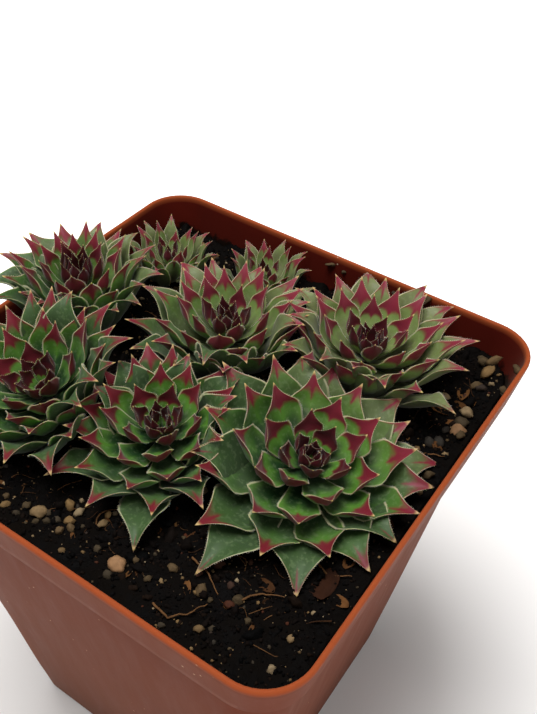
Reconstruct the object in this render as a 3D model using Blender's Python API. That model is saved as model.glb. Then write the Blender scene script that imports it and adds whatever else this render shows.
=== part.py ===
"""Houseleek clump in a square nursery pot: a plastic pot, its potting soil, and eight leaf rosettes.

Metres, +Z up. The origin is the centre of the pot's base, and the pot stands on Z = 0.
Each rosette is a stem with rings of eight leaves stacked on it, each ring one solid.
"""

import math

import bmesh
import bpy
from mathutils import Matrix, Vector

MM = 0.001

# --- pot ---------------------------------------------------------------------------------
POT_HEIGHT = 96.5 * MM
RIM_WIDTH = 90.0 * MM          # outside, across the flats of the rim band
RIM_RADIUS = 8.8 * MM          # outside corner radius of the rim band
BAND_HEIGHT = 10.0 * MM
BAND_DRAFT = 1.5 * MM          # how much narrower the band is at its lower edge, per side
SHOULDER_STEP = 2.5 * MM       # from the band's lower edge in to the tapered wall
SHOULDER_RISE = 0.8 * MM
SHOULDER_RADIUS = 10.5 * MM    # corner radius at the top of the tapered wall
BASE_WIDTH = 59.3 * MM
BASE_RADIUS = 4.0 * MM
BASE_CHAMFER = 0.8 * MM
WALL = 0.9 * MM
FLOOR = 1.4 * MM
LIP_ROUND = 0.3 * MM
CORNER_STEPS = 5               # facets of one rounded corner
DRAIN_LENGTH = 12.0 * MM
DRAIN_WIDTH = 3.6 * MM
DRAIN_SHARE = 0.55             # slot centres, as a share of the base's half width

# --- soil --------------------------------------------------------------------------------
SOIL_DEPTH = 9.5 * MM          # from the rim down to the level of the soil
SOIL_CLEARANCE = 0.3 * MM
SOIL_BUMP = 0.5 * MM           # half height of the soil's waves
SOIL_WAVES_X = 5.0             # radians of wave from the middle of the soil to its edge
SOIL_WAVES_Y = 4.0
SOIL_BANK = 2.0 * MM           # how far the soil climbs towards the +Y wall
BANK_POWER = 3                 # higher keeps the climb closer to the wall
SOIL_RINGS = 5

# --- rosettes ----------------------------------------------------------------------------
GOLDEN_ANGLE = math.radians(137.508)
LEAVES_PER_RING = 8
LEAF_SIDES = 4                 # edge, back, edge and face of one leaf
LEAF_STEPS = 4
LEAF_ANGLE = math.radians(30)  # most that a leaf covers round the stem; two are 32.5 apart
STEM_RADIUS = 2.0 * MM
STEM_SHARE = 0.13              # a small rosette's stem, as a share of the rosette's radius
STEM_DEPTH = 5.0 * MM          # how far a stem goes into the soil
STEM_CLEARANCE = 0.3 * MM
STEM_SIDES = 10
ROOT_SHARE = 0.85              # where leaves start, as a share of the stem's radius
RING_GAP = 0.60 * MM           # between two leaf rings on a stem
LEAF_WIDTH_SHARE = 0.40        # widest leaf, as a share of the rosette's radius
YOUNG_WIDTH = 0.3              # width of the youngest leaf, as a share of the oldest's
LEAF_THICKNESS_SHARE = 0.078
LEAF_ROOT_THICKNESS = 0.6      # at its root, as a share of its thickest
LEAF_TAPER = 6                 # higher keeps a leaf thick closer to its spine
LEAF_WIDEST = 0.62             # where a leaf is widest, from its root to its spine
LEAF_POINT = 1.35              # higher makes a leaf's end blunter
TIP_RISE = 0.48                # tips stand above the heart by RISE s - FALL s^2 radii,
TIP_FALL = 0.62                # where s is 1 at the outermost leaf and 0 at the heart
SPREAD_POWER = 0.8             # how quickly the tips close in towards the heart
NEIGHBOUR_GAP = 0.5 * MM       # between leaves of two rosettes
LEAN_MARGIN = 1.1              # leaves stand up to this share of the heart's height
REACH_BLEND = 6                # higher follows a rosette's borders more closely
WALL_GAP = 0.5 * MM            # between leaves and the pot's inside
LOWEST_LEAF = 2.4 * MM         # first ring's height on its stem, above the soil
LOW_SHARE = 0.16               # and on a small rosette, as a share of its radius
BELLY_OUT = 0.62               # a leaf's curve bends outwards at these shares of the way
BELLY_UP = 0.15                # from its root to its tip
BELLY_LIFT = -0.08              # young leaves bend up sooner by this share
BELLY_SWELL = 0.10             # and more so for young leaves, as a share of the radius
CROWN_SHARE = 0.60             # share of a rosette's height that its rings take on the stem
SOIL_TOUCH = 0.4 * MM          # leaves stay at least this far above the soil
SOIL_EASE = 1.2 * MM           # height over which a drooping leaf levels out

CLUMP_HALF = 42.375 * MM       # the heights and radii below, and the stem sizes above, are for
                               # soil of this half width, and they grow or shrink with it

# name: place of the heart as shares of the soil's half width, heart height over the soil,
# radius, lean towards +X and +Y, turn of the first leaf, direction of the spiral, rings
ROSETTES = {
    "front": ((0.57, -0.14), 12.0 * MM, 21.5 * MM, (0.27, -0.14), math.radians(77), -1, 5),
    "near": ((-0.01, -0.34), 12.0 * MM, 18.5 * MM, (0.15, -0.15), math.radians(105), -1, 5),
    "left": ((-0.57, -0.45), 12.5 * MM, 18.0 * MM, (-0.03, -0.18), math.radians(48), -1, 5),
    "middle": ((-0.13, 0.29), 13.0 * MM, 19.0 * MM, (0.02, 0.00), math.radians(100), -1, 5),
    "right": ((0.43, 0.56), 13.0 * MM, 19.0 * MM, (0.05, 0.03), math.radians(37), 1, 5),
    "far_left": ((-0.77, 0.12), 15.0 * MM, 14.0 * MM, (-0.03, 0.00), math.radians(30), -1, 5),
    "small_left": ((-0.72, 0.63), 9.0 * MM, 9.5 * MM, (0.00, 0.05), math.radians(20), 1, 3),
    "small_back": ((-0.28, 0.80), 8.5 * MM, 8.5 * MM, (0.00, 0.03), math.radians(65), -1, 3),
}

# --- pebbles and bark on the soil --------------------------------------------------------
PEBBLE_SUNK = 0.35             # share of a pebble's height pressed into the soil
# name: place as shares of the soil's half width, length, width, height, turn
PEBBLES = {
    "pebble_front": ((0.18, -0.83), 3.4 * MM, 2.6 * MM, 2.2 * MM, math.radians(20)),
    "pebble_left": ((-0.55, -0.90), 3.0 * MM, 2.5 * MM, 2.0 * MM, math.radians(75)),
    "pebble_right": ((0.93, 0.52), 3.6 * MM, 2.7 * MM, 2.2 * MM, math.radians(50)),
    "bark_chip": ((0.86, -0.46), 7.0 * MM, 3.0 * MM, 1.6 * MM, math.radians(110)),
}

# --- colours: red, green, blue, roughness ------------------------------------------------
POT_FINISH = (0.27, 0.075, 0.035, 0.42)
SOIL_FINISH = (0.012, 0.009, 0.007, 0.95)
STEM_FINISH = (0.16, 0.10, 0.06, 0.8)
LEAF_FINISH = (0.09, 0.20, 0.07, 0.5)
HEART_FINISH = (0.14, 0.025, 0.04, 0.5)
PEBBLE_FINISH = (0.42, 0.30, 0.17, 0.85)
BARK_FINISH = (0.13, 0.06, 0.03, 0.9)

SHARP_ANGLE = math.radians(35) # edges sharper than this stay sharp

# --- values that follow ------------------------------------------------------------------
RIM_HALF = RIM_WIDTH / 2
BAND_FOOT = POT_HEIGHT - BAND_HEIGHT
SHOULDER_Z = BAND_FOOT - SHOULDER_RISE
SHOULDER_HALF = RIM_HALF - BAND_DRAFT - SHOULDER_STEP
BASE_HALF = BASE_WIDTH / 2
SOIL_LEVEL = POT_HEIGHT - SOIL_DEPTH
WALL_SLOPE = (SHOULDER_HALF - BASE_HALF) / SHOULDER_Z


def inside_half(z):
    """Half width of the pot's inside at a height."""
    if z >= BAND_FOOT:
        return RIM_HALF - WALL - BAND_DRAFT * (POT_HEIGHT - z) / BAND_HEIGHT
    return BASE_HALF + WALL_SLOPE * z - WALL


SOIL_HALF = inside_half(SOIL_LEVEL) - SOIL_CLEARANCE
LEAF_WALL = inside_half(SOIL_LEVEL) - WALL_GAP
GROWTH = SOIL_HALF / CLUMP_HALF


def material(name, finish):
    made = bpy.data.materials.new(name)
    made.use_nodes = True
    shader = made.node_tree.nodes["Principled BSDF"]
    shader.inputs["Base Color"].default_value = (*finish[:3], 1)
    shader.inputs["Roughness"].default_value = finish[3]
    shader.inputs["Metallic"].default_value = 0
    made.diffuse_color = (*finish[:3], 1)
    return made


def mesh_object(name, bm, finish=None):
    """Object from a bmesh, with its normals out and its own material."""
    bmesh.ops.recalc_face_normals(bm, faces=bm.faces)
    mesh = bpy.data.meshes.new(name)
    bm.to_mesh(mesh)
    bm.free()
    made = bpy.data.objects.new(name, mesh)
    PARTS.objects.link(made)
    if finish is not None:
        mesh.materials.append(material(name, finish))
    return made


def boolean(target, tool, operation):
    """Join a tool to a target, or cut the target with it, and remove the tool."""
    step = target.modifiers.new(operation.lower(), "BOOLEAN")
    step.operation = operation
    step.solver = "EXACT"
    step.use_self = True
    step.object = tool
    graph = bpy.context.evaluated_depsgraph_get()
    result = bpy.data.meshes.new_from_object(target.evaluated_get(graph))
    target.modifiers.remove(step)
    target.data = result
    bpy.data.objects.remove(tool)


def rounded_square(half, radius, z):
    """Corner points of a square with rounded corners, counterclockwise from +X."""
    points = []
    for corner in range(4):
        turn = Matrix.Rotation(corner * math.pi / 2, 3, "Z")
        for step in range(CORNER_STEPS + 1):
            angle = step / CORNER_STEPS * math.pi / 2
            x = half - radius + radius * math.cos(angle)
            y = half - radius + radius * math.sin(angle)
            points.append(turn @ Vector((x, y, z)))
    return points


def loft(sections):
    """Closed solid through the sections, each a ring of as many points."""
    bm = bmesh.new()
    rings = [[bm.verts.new(point) for point in section] for section in sections]
    for lower, upper in zip(rings, rings[1:]):
        for i in range(len(lower)):
            j = (i + 1) % len(lower)
            bm.faces.new((lower[i], lower[j], upper[j], upper[i]))
    bm.faces.new(rings[0])
    bm.faces.new(rings[-1])
    return bm


def build_pot():
    """The pot: one thin injection-moulded shell with an upright rim band and drain slots."""
    floor_half = inside_half(FLOOR)
    outside = [
        (BASE_HALF - BASE_CHAMFER, BASE_RADIUS, 0),
        (BASE_HALF + WALL_SLOPE * BASE_CHAMFER, BASE_RADIUS, BASE_CHAMFER),
        (SHOULDER_HALF, SHOULDER_RADIUS, SHOULDER_Z),
        (SHOULDER_HALF + SHOULDER_STEP, RIM_RADIUS, BAND_FOOT),
        (RIM_HALF, RIM_RADIUS, POT_HEIGHT - LIP_ROUND),
        (RIM_HALF - LIP_ROUND, RIM_RADIUS - LIP_ROUND, POT_HEIGHT),
    ]
    inside = [
        (RIM_HALF - WALL, RIM_RADIUS - WALL, POT_HEIGHT - LIP_ROUND),
        (inside_half(BAND_FOOT), RIM_RADIUS - WALL, BAND_FOOT),
        (inside_half(SHOULDER_Z), SHOULDER_RADIUS - WALL, SHOULDER_Z),
        (floor_half, BASE_RADIUS - WALL, FLOOR),
    ]
    bm = loft([rounded_square(*section) for section in outside + inside])
    pot = mesh_object("pot", bm, POT_FINISH)
    reach = BASE_HALF * DRAIN_SHARE
    slots = bmesh.new()
    for corner in range(4):
        angle = (corner + 0.5) * math.pi / 2
        place = Matrix.Translation((reach * math.sqrt(2) * math.cos(angle),
                                    reach * math.sqrt(2) * math.sin(angle), FLOOR / 2))
        turn = Matrix.Rotation(angle + math.pi / 2, 4, "Z")
        size = Matrix.Diagonal((DRAIN_LENGTH, DRAIN_WIDTH, 4 * FLOOR, 1))
        bmesh.ops.create_cube(slots, size=1, matrix=place @ turn @ size)
    boolean(pot, mesh_object("drain_slots", slots), "DIFFERENCE")


def soil_height(x, y):
    """Level of the soil at a place: low waves, and a bank towards the +Y wall."""
    waves = math.sin(SOIL_WAVES_X * x / SOIL_HALF) * math.cos(SOIL_WAVES_Y * y / SOIL_HALF)
    bank = max(0, y / SOIL_HALF) ** BANK_POWER
    return SOIL_LEVEL + SOIL_BUMP * waves + SOIL_BANK * bank


def add_pebble(bm, share, length, width, height, turn, grown):
    """A pebble where it lies; its dent in the soil is the same shape, grown all round."""
    x = share[0] * SOIL_HALF
    y = share[1] * SOIL_HALF
    z = soil_height(x, y) + height * (0.5 - PEBBLE_SUNK)
    place = Matrix.Translation((x, y, z)) @ Matrix.Rotation(turn, 4, "Z")
    size = Matrix.Diagonal((length + 2 * grown, width + 2 * grown, height + 2 * grown, 1))
    bmesh.ops.create_icosphere(bm, subdivisions=1, radius=0.5, matrix=place @ size)


def build_soil():
    """The soil: a block that fills the pot, with a hole for each stem and pebble."""
    bottom = FLOOR + SOIL_CLEARANCE
    corner = RIM_RADIUS - WALL if SOIL_LEVEL > BAND_FOOT else SHOULDER_RADIUS
    edge = rounded_square(SOIL_HALF, corner, 0)
    edge_low = min(soil_height(p.x, p.y) for p in edge)
    sections = [rounded_square(inside_half(bottom) - SOIL_CLEARANCE, BASE_RADIUS, bottom)]
    for z, radius in ((SHOULDER_Z, SHOULDER_RADIUS), (BAND_FOOT, corner)):
        if z < edge_low:
            sections.append(rounded_square(inside_half(z) - SOIL_CLEARANCE, radius, z))
    for ring in range(SOIL_RINGS):
        share = 1 - ring / SOIL_RINGS
        square = rounded_square(SOIL_HALF * share, corner * share, 0)
        sections.append([Vector((p.x, p.y, soil_height(p.x, p.y))) for p in square])
    bm = loft(sections)
    bmesh.ops.triangulate(bm, faces=bm.faces)
    soil = mesh_object("soil", bm, SOIL_FINISH)
    holes = bmesh.new()
    for rosette in PLACED:
        reach = STEM_DEPTH + STEM_CLEARANCE
        bmesh.ops.create_cone(holes, cap_ends=True, segments=STEM_SIDES, depth=2 * reach,
                              radius1=rosette.stem_radius + STEM_CLEARANCE,
                              radius2=rosette.stem_radius + STEM_CLEARANCE,
                              matrix=rosette.frame)
    for pebble in PEBBLES.values():
        add_pebble(holes, *pebble, grown=SOIL_CLEARANCE)
    boolean(soil, mesh_object("stem_holes", holes), "DIFFERENCE")


class Rosette:
    """Where one rosette stands, and the shape that its leaves share."""

    def __init__(self, name, share, height, radius, lean, turn, spiral, rings):
        self.name = name
        self.height = height * GROWTH
        self.radius = radius * GROWTH
        self.turn = turn
        self.spiral = spiral
        self.rings = rings
        self.leaves = rings * LEAVES_PER_RING
        self.stem_radius = min(STEM_RADIUS * GROWTH, STEM_SHARE * self.radius)
        self.ring_gap = RING_GAP * GROWTH
        axis = Vector((*lean, 1)).normalized()
        heart = Vector((share[0] * SOIL_HALF, share[1] * SOIL_HALF, SOIL_LEVEL + self.height))
        foot = heart - axis * (self.height / axis.z)
        foot.z = soil_height(foot.x, foot.y)
        self.rise = heart.z - foot.z
        self.foot = foot
        self.axis = axis
        across = Vector((0, 1, 0)).cross(axis).normalized()
        turned = Matrix((across, axis.cross(across), axis)).transposed()
        self.frame = Matrix.Translation(foot) @ turned.to_4x4()
        self.walls = []

    def middle(self):
        return self.foot + self.axis * self.rise / 2

    def reach(self, angle):
        """How far leaves may go in a direction, up to the rosette's own radius."""
        direction = self.frame.to_3x3() @ Vector((math.cos(angle), math.sin(angle), 0))
        limits = [self.radius]
        for normal, distance in self.walls:
            towards = normal.dot(direction)
            if towards > 0:
                lean = max(0, normal.dot(self.axis)) * self.rise * LEAN_MARGIN
                limits.append((distance - normal.dot(self.foot) - lean) / towards)
        return sum(limit ** -REACH_BLEND for limit in limits) ** (-1 / REACH_BLEND)

    def place(self, radius, angle, height):
        """World point from a place round the stem, squeezed in where a neighbour is near."""
        squeezed = radius * self.reach(angle) / self.radius
        local = Vector((squeezed * math.cos(angle), squeezed * math.sin(angle), height))
        point = self.frame @ local
        bend = soil_height(point.x, point.y) + SOIL_TOUCH + SOIL_EASE
        if point.z < bend:
            point.z = bend + SOIL_EASE * (math.exp((point.z - bend) / SOIL_EASE) - 1)
        return point

    def ring_height(self, ring):
        """Height of a leaf ring's underside on the stem, and the step to the next ring."""
        lowest = min(LOWEST_LEAF * GROWTH, LOW_SHARE * self.radius)
        pitch = CROWN_SHARE * (self.rise - lowest) / self.rings
        return lowest + pitch * ring, pitch


def place_rosettes():
    """All rosettes, each told where its neighbours and the pot's walls stop its leaves."""
    placed = [Rosette(name, *values) for name, values in ROSETTES.items()]
    for one in placed:
        for normal in (Vector((1, 0, 0)), Vector((-1, 0, 0)),
                       Vector((0, 1, 0)), Vector((0, -1, 0))):
            one.walls.append((normal, LEAF_WALL))
        for other in placed:
            if other is not one:
                apart = other.middle() - one.middle()
                apart.z = 0
                normal = apart.normalized()
                share = one.radius / (one.radius + other.radius)
                border = normal.dot(one.middle()) + apart.length * share
                one.walls.append((normal, border - NEIGHBOUR_GAP / 2))
    return placed


def leaf_width(t):
    """Width along a leaf, from 0 at its root to 1 at its spine, as a share of its widest."""
    body = 0.5 + 0.5 * math.sin(math.pi / 2 * min(t / LEAF_WIDEST, 1))
    tip = 1 - max(0, (t - LEAF_WIDEST) / (1 - LEAF_WIDEST)) ** LEAF_POINT
    return body * tip


def leaf_thickness(t):
    """Thickness along a leaf, as a share of its thickest."""
    swell = LEAF_ROOT_THICKNESS + (1 - LEAF_ROOT_THICKNESS) * math.sin(math.pi * t)
    return swell * (1 - t ** LEAF_TAPER)


def add_leaf(bm, rosette, index):
    """One leaf: a ball with four sides, drawn out along the leaf's curve."""
    ring = index // LEAVES_PER_RING
    age = (1 - index / rosette.leaves) ** SPREAD_POWER
    angle = rosette.turn + rosette.spiral * GOLDEN_ANGLE * index
    ring_z, pitch = rosette.ring_height(ring)
    root = rosette.stem_radius * ROOT_SHARE
    thick = min(LEAF_THICKNESS_SHARE * rosette.radius, pitch - rosette.ring_gap)
    root_z = ring_z + (pitch - rosette.ring_gap) / 2
    tip = max(rosette.radius * age, root)
    tip_z = rosette.rise + rosette.radius * (TIP_RISE * age - TIP_FALL * age ** 2)
    half_width = LEAF_WIDTH_SHARE / 2 * rosette.radius * (YOUNG_WIDTH + (1 - YOUNG_WIDTH) * age)
    belly = root + (tip - root) * BELLY_OUT + BELLY_SWELL * rosette.radius * (1 - age)
    belly_z = root_z + (tip_z - root_z) * (BELLY_UP + BELLY_LIFT * (1 - age))
    start, bend, end = Vector((root, root_z)), Vector((belly, belly_z)), Vector((tip, tip_z))
    made = bmesh.ops.create_uvsphere(bm, u_segments=LEAF_SIDES, v_segments=LEAF_STEPS, radius=1)
    for vert in made["verts"]:
        t = (1 + vert.co.z) / 2
        side = vert.co.to_2d()
        if side.length > 0:
            side.normalize()
        along = (1 - t) ** 2 * start + 2 * t * (1 - t) * bend + t * t * end
        slope = ((1 - t) * (bend - start) + t * (end - bend)).normalized()
        swing = min(half_width * leaf_width(t) / along.x, LEAF_ANGLE / 2) * side.x
        along += Vector((-slope.y, slope.x)) * thick * leaf_thickness(t) * side.y / 2
        vert.co = rosette.place(along.x, angle + swing, along.y)


def build_rosette(rosette):
    """A rosette: its stem in the soil, and its leaf rings from the oldest to the heart."""
    ring_z, pitch = rosette.ring_height(0)
    top = ring_z - rosette.ring_gap
    stem = bmesh.new()
    bmesh.ops.create_cone(stem, cap_ends=True, segments=STEM_SIDES, depth=STEM_DEPTH + top,
                          radius1=rosette.stem_radius, radius2=rosette.stem_radius,
                          matrix=rosette.frame @ Matrix.Translation((0, 0, (top - STEM_DEPTH) / 2)))
    mesh_object(f"{rosette.name}_stem", stem, STEM_FINISH)
    for ring in range(rosette.rings):
        ring_z, pitch = rosette.ring_height(ring)
        depth = pitch - rosette.ring_gap
        name = f"{rosette.name}_leaf_ring_{ring + 1}"
        finish = HEART_FINISH if ring == rosette.rings - 1 else LEAF_FINISH
        crown = bmesh.new()
        middle = Matrix.Translation((0, 0, ring_z + depth / 2))
        bmesh.ops.create_cone(crown, cap_ends=True, segments=STEM_SIDES, depth=depth,
                              radius1=rosette.stem_radius, radius2=rosette.stem_radius,
                              matrix=rosette.frame @ middle)
        node = mesh_object(name, crown, finish)
        leaves = bmesh.new()
        for index in range(ring * LEAVES_PER_RING, (ring + 1) * LEAVES_PER_RING):
            add_leaf(leaves, rosette, index)
        boolean(node, mesh_object(f"{name}_leaves", leaves), "UNION")


def build_pebbles():
    """Pebbles and a bark chip: loose pieces pressed a little into the soil."""
    for name, pebble in PEBBLES.items():
        shape = bmesh.new()
        add_pebble(shape, *pebble, grown=0)
        mesh_object(name, shape, BARK_FINISH if name == "bark_chip" else PEBBLE_FINISH)


for old in list(bpy.data.objects):
    bpy.data.objects.remove(old)
PARTS = bpy.data.collections.new("potted_succulent")
bpy.context.scene.collection.children.link(PARTS)

PLACED = place_rosettes()
build_pot()
build_soil()
for placed_rosette in PLACED:
    build_rosette(placed_rosette)
build_pebbles()
for part in PARTS.objects:
    part.data.shade_smooth()
    part.data.set_sharp_from_angle(angle=SHARP_ANGLE)
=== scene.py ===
"""Houseleek clump in a square nursery pot, shown on a pale floor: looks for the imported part.

Metres, +Z up. Sections follow the object as it is put together: pot, soil with the crumbs
strewn over it, pebbles and larger grit, stems, rosettes.
"""

import math
import random
from collections import namedtuple

import bmesh
import bpy
from mathutils import Matrix, Vector, noise
from mathutils.bvhtree import BVHTree


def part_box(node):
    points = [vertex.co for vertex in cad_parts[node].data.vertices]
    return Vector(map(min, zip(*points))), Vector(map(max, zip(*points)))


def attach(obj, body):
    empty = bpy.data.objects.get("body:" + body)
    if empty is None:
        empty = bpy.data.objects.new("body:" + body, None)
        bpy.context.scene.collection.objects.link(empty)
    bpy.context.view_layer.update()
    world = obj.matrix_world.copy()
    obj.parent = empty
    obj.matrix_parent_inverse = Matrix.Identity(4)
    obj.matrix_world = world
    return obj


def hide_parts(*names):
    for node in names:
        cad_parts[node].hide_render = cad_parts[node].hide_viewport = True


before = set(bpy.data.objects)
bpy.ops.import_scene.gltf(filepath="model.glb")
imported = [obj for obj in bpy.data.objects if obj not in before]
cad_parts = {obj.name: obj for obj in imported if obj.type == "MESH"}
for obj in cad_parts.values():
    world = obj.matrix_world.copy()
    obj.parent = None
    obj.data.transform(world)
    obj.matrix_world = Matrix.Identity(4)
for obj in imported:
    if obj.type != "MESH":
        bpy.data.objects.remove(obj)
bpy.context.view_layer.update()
MM = 0.001

# --- camera ------------------------------------------------------------------------------
# A camera held by hand over the near right corner of the pot. It looks down on the clump,
# a little tilted, through a lens of moderate width.
CAMERA_PLACE = Vector((69.5, -90.8, 206.5)) * MM
CAMERA_AZIMUTH = math.radians(-32.5)
CAMERA_DOWN = math.radians(42.6)
CAMERA_ROLL = math.radians(2.74)
CAMERA_LENS = 44.8
CAMERA_CLIP = (10 * MM, 20.0)

forward = Vector((math.sin(CAMERA_AZIMUTH) * math.cos(CAMERA_DOWN),
                  math.cos(CAMERA_AZIMUTH) * math.cos(CAMERA_DOWN),
                  -math.sin(CAMERA_DOWN)))
level = forward.cross(Vector((0, 0, 1))).normalized()
upright = level.cross(forward)
right = math.cos(CAMERA_ROLL) * level + math.sin(CAMERA_ROLL) * upright
above = math.cos(CAMERA_ROLL) * upright - math.sin(CAMERA_ROLL) * level
camera = bpy.data.objects.new("camera", bpy.data.cameras.new("camera"))
camera.data.lens = CAMERA_LENS
camera.data.clip_start, camera.data.clip_end = CAMERA_CLIP
camera.matrix_world = (Matrix.Translation(CAMERA_PLACE)
                       @ Matrix((right, above, -forward)).transposed().to_4x4())
bpy.context.scene.collection.objects.link(camera)
bpy.context.scene.camera = camera
bpy.context.scene.view_settings.view_transform = "Standard"

# --- floor and light ---------------------------------------------------------------------
# A matt white table under a soft lamp, nearly overhead, that throws a short shadow to the
# right. A wide weak fill stands at the right. Away from the pot the table glows by itself,
# so that it meets the white backdrop without a horizon.
FLOOR_WHITE = "#e8e5e2"
WHITE = "#ffffff"
FLOOR_SIZE = 6.0
LAMP_PLACE = Vector((-0.12, -0.06, 0.90))
LAMP_SIZE = 0.45
LAMP_POWER = 8.4
FILL_PLACE = Vector((0.9, -0.35, 0.55))
FILL_SIZE = 1.2
FILL_POWER = 3.8
SKY_STRENGTH = 0.13
TABLE_GLOW = 0.04
FAR_GLOW = 0.95
GLOW_REACH = (0.055, 0.21)


def linear(shade):
    """Linear opaque colour of an sRGB hex value."""
    parts = [int(shade[i:i + 2], 16) / 255 for i in (1, 3, 5)]
    return [c / 12.92 if c <= 0.04045 else ((c + 0.055) / 1.055) ** 2.4 for c in parts] + [1.0]


def feed(tree, node, key, value):
    """Give a node's input a link from a node or a socket, or a value of its own."""
    if isinstance(value, bpy.types.Node):
        value = next(output for output in value.outputs if output.enabled)
    if isinstance(value, bpy.types.NodeSocket):
        tree.links.new(value, node.inputs[key])
    else:
        node.inputs[key].default_value = value


def add(tree, kind, inputs=(), **settings):
    """A new node with its settings; inputs are values or links, in order or by socket."""
    node = tree.nodes.new(kind)
    for name, value in settings.items():
        setattr(node, name, value)
    for key, value in inputs.items() if isinstance(inputs, dict) else enumerate(inputs):
        feed(tree, node, key, value)
    return node


def surface(name, **values):
    """A new material by its real name, with its node tree and its object coordinates."""
    made = bpy.data.materials.new(name)
    made.use_nodes = True
    finish(made, **values)
    return made, made.node_tree, add(made.node_tree, "ShaderNodeTexCoord").outputs["Object"]


def finish(made, **inputs):
    """Set or link inputs of a material's shader by name."""
    tree = made.node_tree
    for socket, value in inputs.items():
        feed(tree, tree.nodes["Principled BSDF"], socket.replace("_", " "), value)


def shown(name, mesh, *materials):
    """A mesh as an object at the origin, with its materials."""
    piece = bpy.data.objects.new(name, mesh)
    bpy.context.scene.collection.objects.link(piece)
    for one in materials:
        mesh.materials.append(one)
    return piece


def area_lamp(name, place, size, power):
    """A square soft lamp that looks at the middle of the clump."""
    lamp = bpy.data.lights.new(name, "AREA")
    lamp.size = size
    lamp.energy = power
    stand = bpy.data.objects.new(name, lamp)
    aim = Vector((0, 0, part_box("soil")[1].z)) - place
    stand.matrix_world = Matrix.Translation(place) @ aim.to_track_quat("-Z", "Y").to_matrix().to_4x4()
    bpy.context.scene.collection.objects.link(stand)


# Matt white paint that glows by itself, the more the farther from the pot: an even pale grey in the shadow,
# pure white far off from its glow.
painted, tree, place = surface("matt_white_paint_glowing_far_off", Roughness=0.9, Base_Color=linear(FLOOR_WHITE),
                               Emission_Color=linear(WHITE))
from_pot = add(tree, "ShaderNodeVectorMath", (place,), operation="LENGTH").outputs["Value"]
glow = add(tree, "ShaderNodeMapRange", (from_pot, *GLOW_REACH, TABLE_GLOW, FAR_GLOW))
finish(painted, Emission_Strength=glow)
floor_mesh = bpy.data.meshes.new("floor")
half = FLOOR_SIZE / 2
floor_mesh.from_pydata([(-half, -half, 0), (half, -half, 0), (half, half, 0), (-half, half, 0)],
                       [], [(0, 1, 2, 3)])
shown("floor", floor_mesh, painted)
area_lamp("lamp", LAMP_PLACE, LAMP_SIZE, LAMP_POWER)
area_lamp("fill", FILL_PLACE, FILL_SIZE, FILL_POWER)
sky = bpy.data.worlds.new("sky")
sky.use_nodes = True
backdrop = add(sky.node_tree, "ShaderNodeBackground", (linear(WHITE), 1.0))
dome = add(sky.node_tree, "ShaderNodeBackground", (linear(WHITE), SKY_STRENGTH))
seen = add(sky.node_tree, "ShaderNodeLightPath").outputs["Is Camera Ray"]
sky_mix = add(sky.node_tree, "ShaderNodeMixShader", (seen, dome, backdrop))
feed(sky.node_tree, sky.node_tree.nodes["World Output"], "Surface", sky_mix)
bpy.context.scene.world = sky

# --- pot ---------------------------------------------------------------------------------
# One shot of thin brown polypropylene: tapered walls, an upright rim band above a narrow
# shoulder, a rounded lip, and four drain slots. Thin walls leave the mould a little wavy.
RIM_RADIUS = 8.8 * MM
BAND_HEIGHT = 10.0 * MM
BAND_DRAFT = 1.5 * MM
SHOULDER_STEP = 2.5 * MM
SHOULDER_RISE = 0.8 * MM
SHOULDER_RADIUS = 10.5 * MM
BASE_HALF = 29.65 * MM
BASE_RADIUS = 4.0 * MM
BASE_CHAMFER = 0.8 * MM
WALL = 0.9 * MM
FLOOR_THICK = 1.4 * MM
CORNER_POINTS = 12
SIDE_POINTS = 14
SHOULDER_EASE = (0.35 * MM, 0.15 * MM)
LEDGE_EASE = (0.5 * MM, 0.1 * MM)
BAND_EASE = 0.35 * MM
LIP_DRAW = 0.02 * MM
WALL_ROWS = 16
BAND_ROWS = 5
INNER_ROWS = 10
WAVE_HEIGHT = 0.22 * MM
WAVE_LENGTH = 26 * MM
WAVE_START = 12 * MM
STIFF_ABOVE = 3 * MM
SHARP_FROM = math.radians(40)
SLOT_LENGTH = 12.0 * MM
SLOT_WIDTH = 3.6 * MM
SLOT_SHARE = 0.55
POT_BROWN = "#592110"
POT_RUST = "#682b17"
# painted shade: the two darker reds of the pot's inside
POT_INSIDE_SHADE_DARK = "#3f100c"
POT_INSIDE_SHADE = "#5c1a10"
# painted highlight: the lighter orange along the top of the lip
POT_LIP_HIGHLIGHT = "#964827"
POT_DUST = "#8f735f"
DRIED_WATER = "#c9a98c"
MUD = "#160c08"

pot_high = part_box("pot")[1]
RIM_HALF = pot_high.x
RIM_Z = pot_high.z
BAND_Z = RIM_Z - BAND_HEIGHT
SHOULDER_Z = BAND_Z - SHOULDER_RISE
SHOULDER_HALF = RIM_HALF - BAND_DRAFT - SHOULDER_STEP


def rounded_square(half, radius, z):
    """Points of a square with rounded corners, counterclockwise, with its sides divided."""
    points = []
    for corner in range(4):
        turn = Matrix.Rotation(corner * math.pi / 2, 3, "Z")
        for step in range(CORNER_POINTS + 1):
            angle = step / CORNER_POINTS * math.pi / 2
            points.append(turn @ Vector((half - radius + radius * math.cos(angle),
                                         half - radius + radius * math.sin(angle), z)))
        start, end = points[-1], turn @ Vector((radius - half, half, z))
        points += [start.lerp(end, step / SIDE_POINTS) for step in range(1, SIDE_POINTS)]
    return points


def wrap(bm, rings):
    """Faces between each ring of corners and the next."""
    for lower, upper in zip(rings, rings[1:]):
        for i in range(len(lower)):
            j = (i + 1) % len(lower)
            bm.faces.new((lower[i], lower[j], upper[j], upper[i]))


def wrap_closed(bm, rings):
    """Faces between rings of corners, with both ends closed."""
    wrap(bm, rings)
    bm.faces.new(list(reversed(rings[0])))
    bm.faces.new(rings[-1])


def as_mesh(bm, name, smooth=True):
    """The mesh of a finished shape, with its faces pointing outwards."""
    bmesh.ops.recalc_face_normals(bm, faces=bm.faces)
    made = bpy.data.meshes.new(name)
    bm.to_mesh(made)
    bm.free()
    if smooth:
        made.shade_smooth()
    return made


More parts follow.
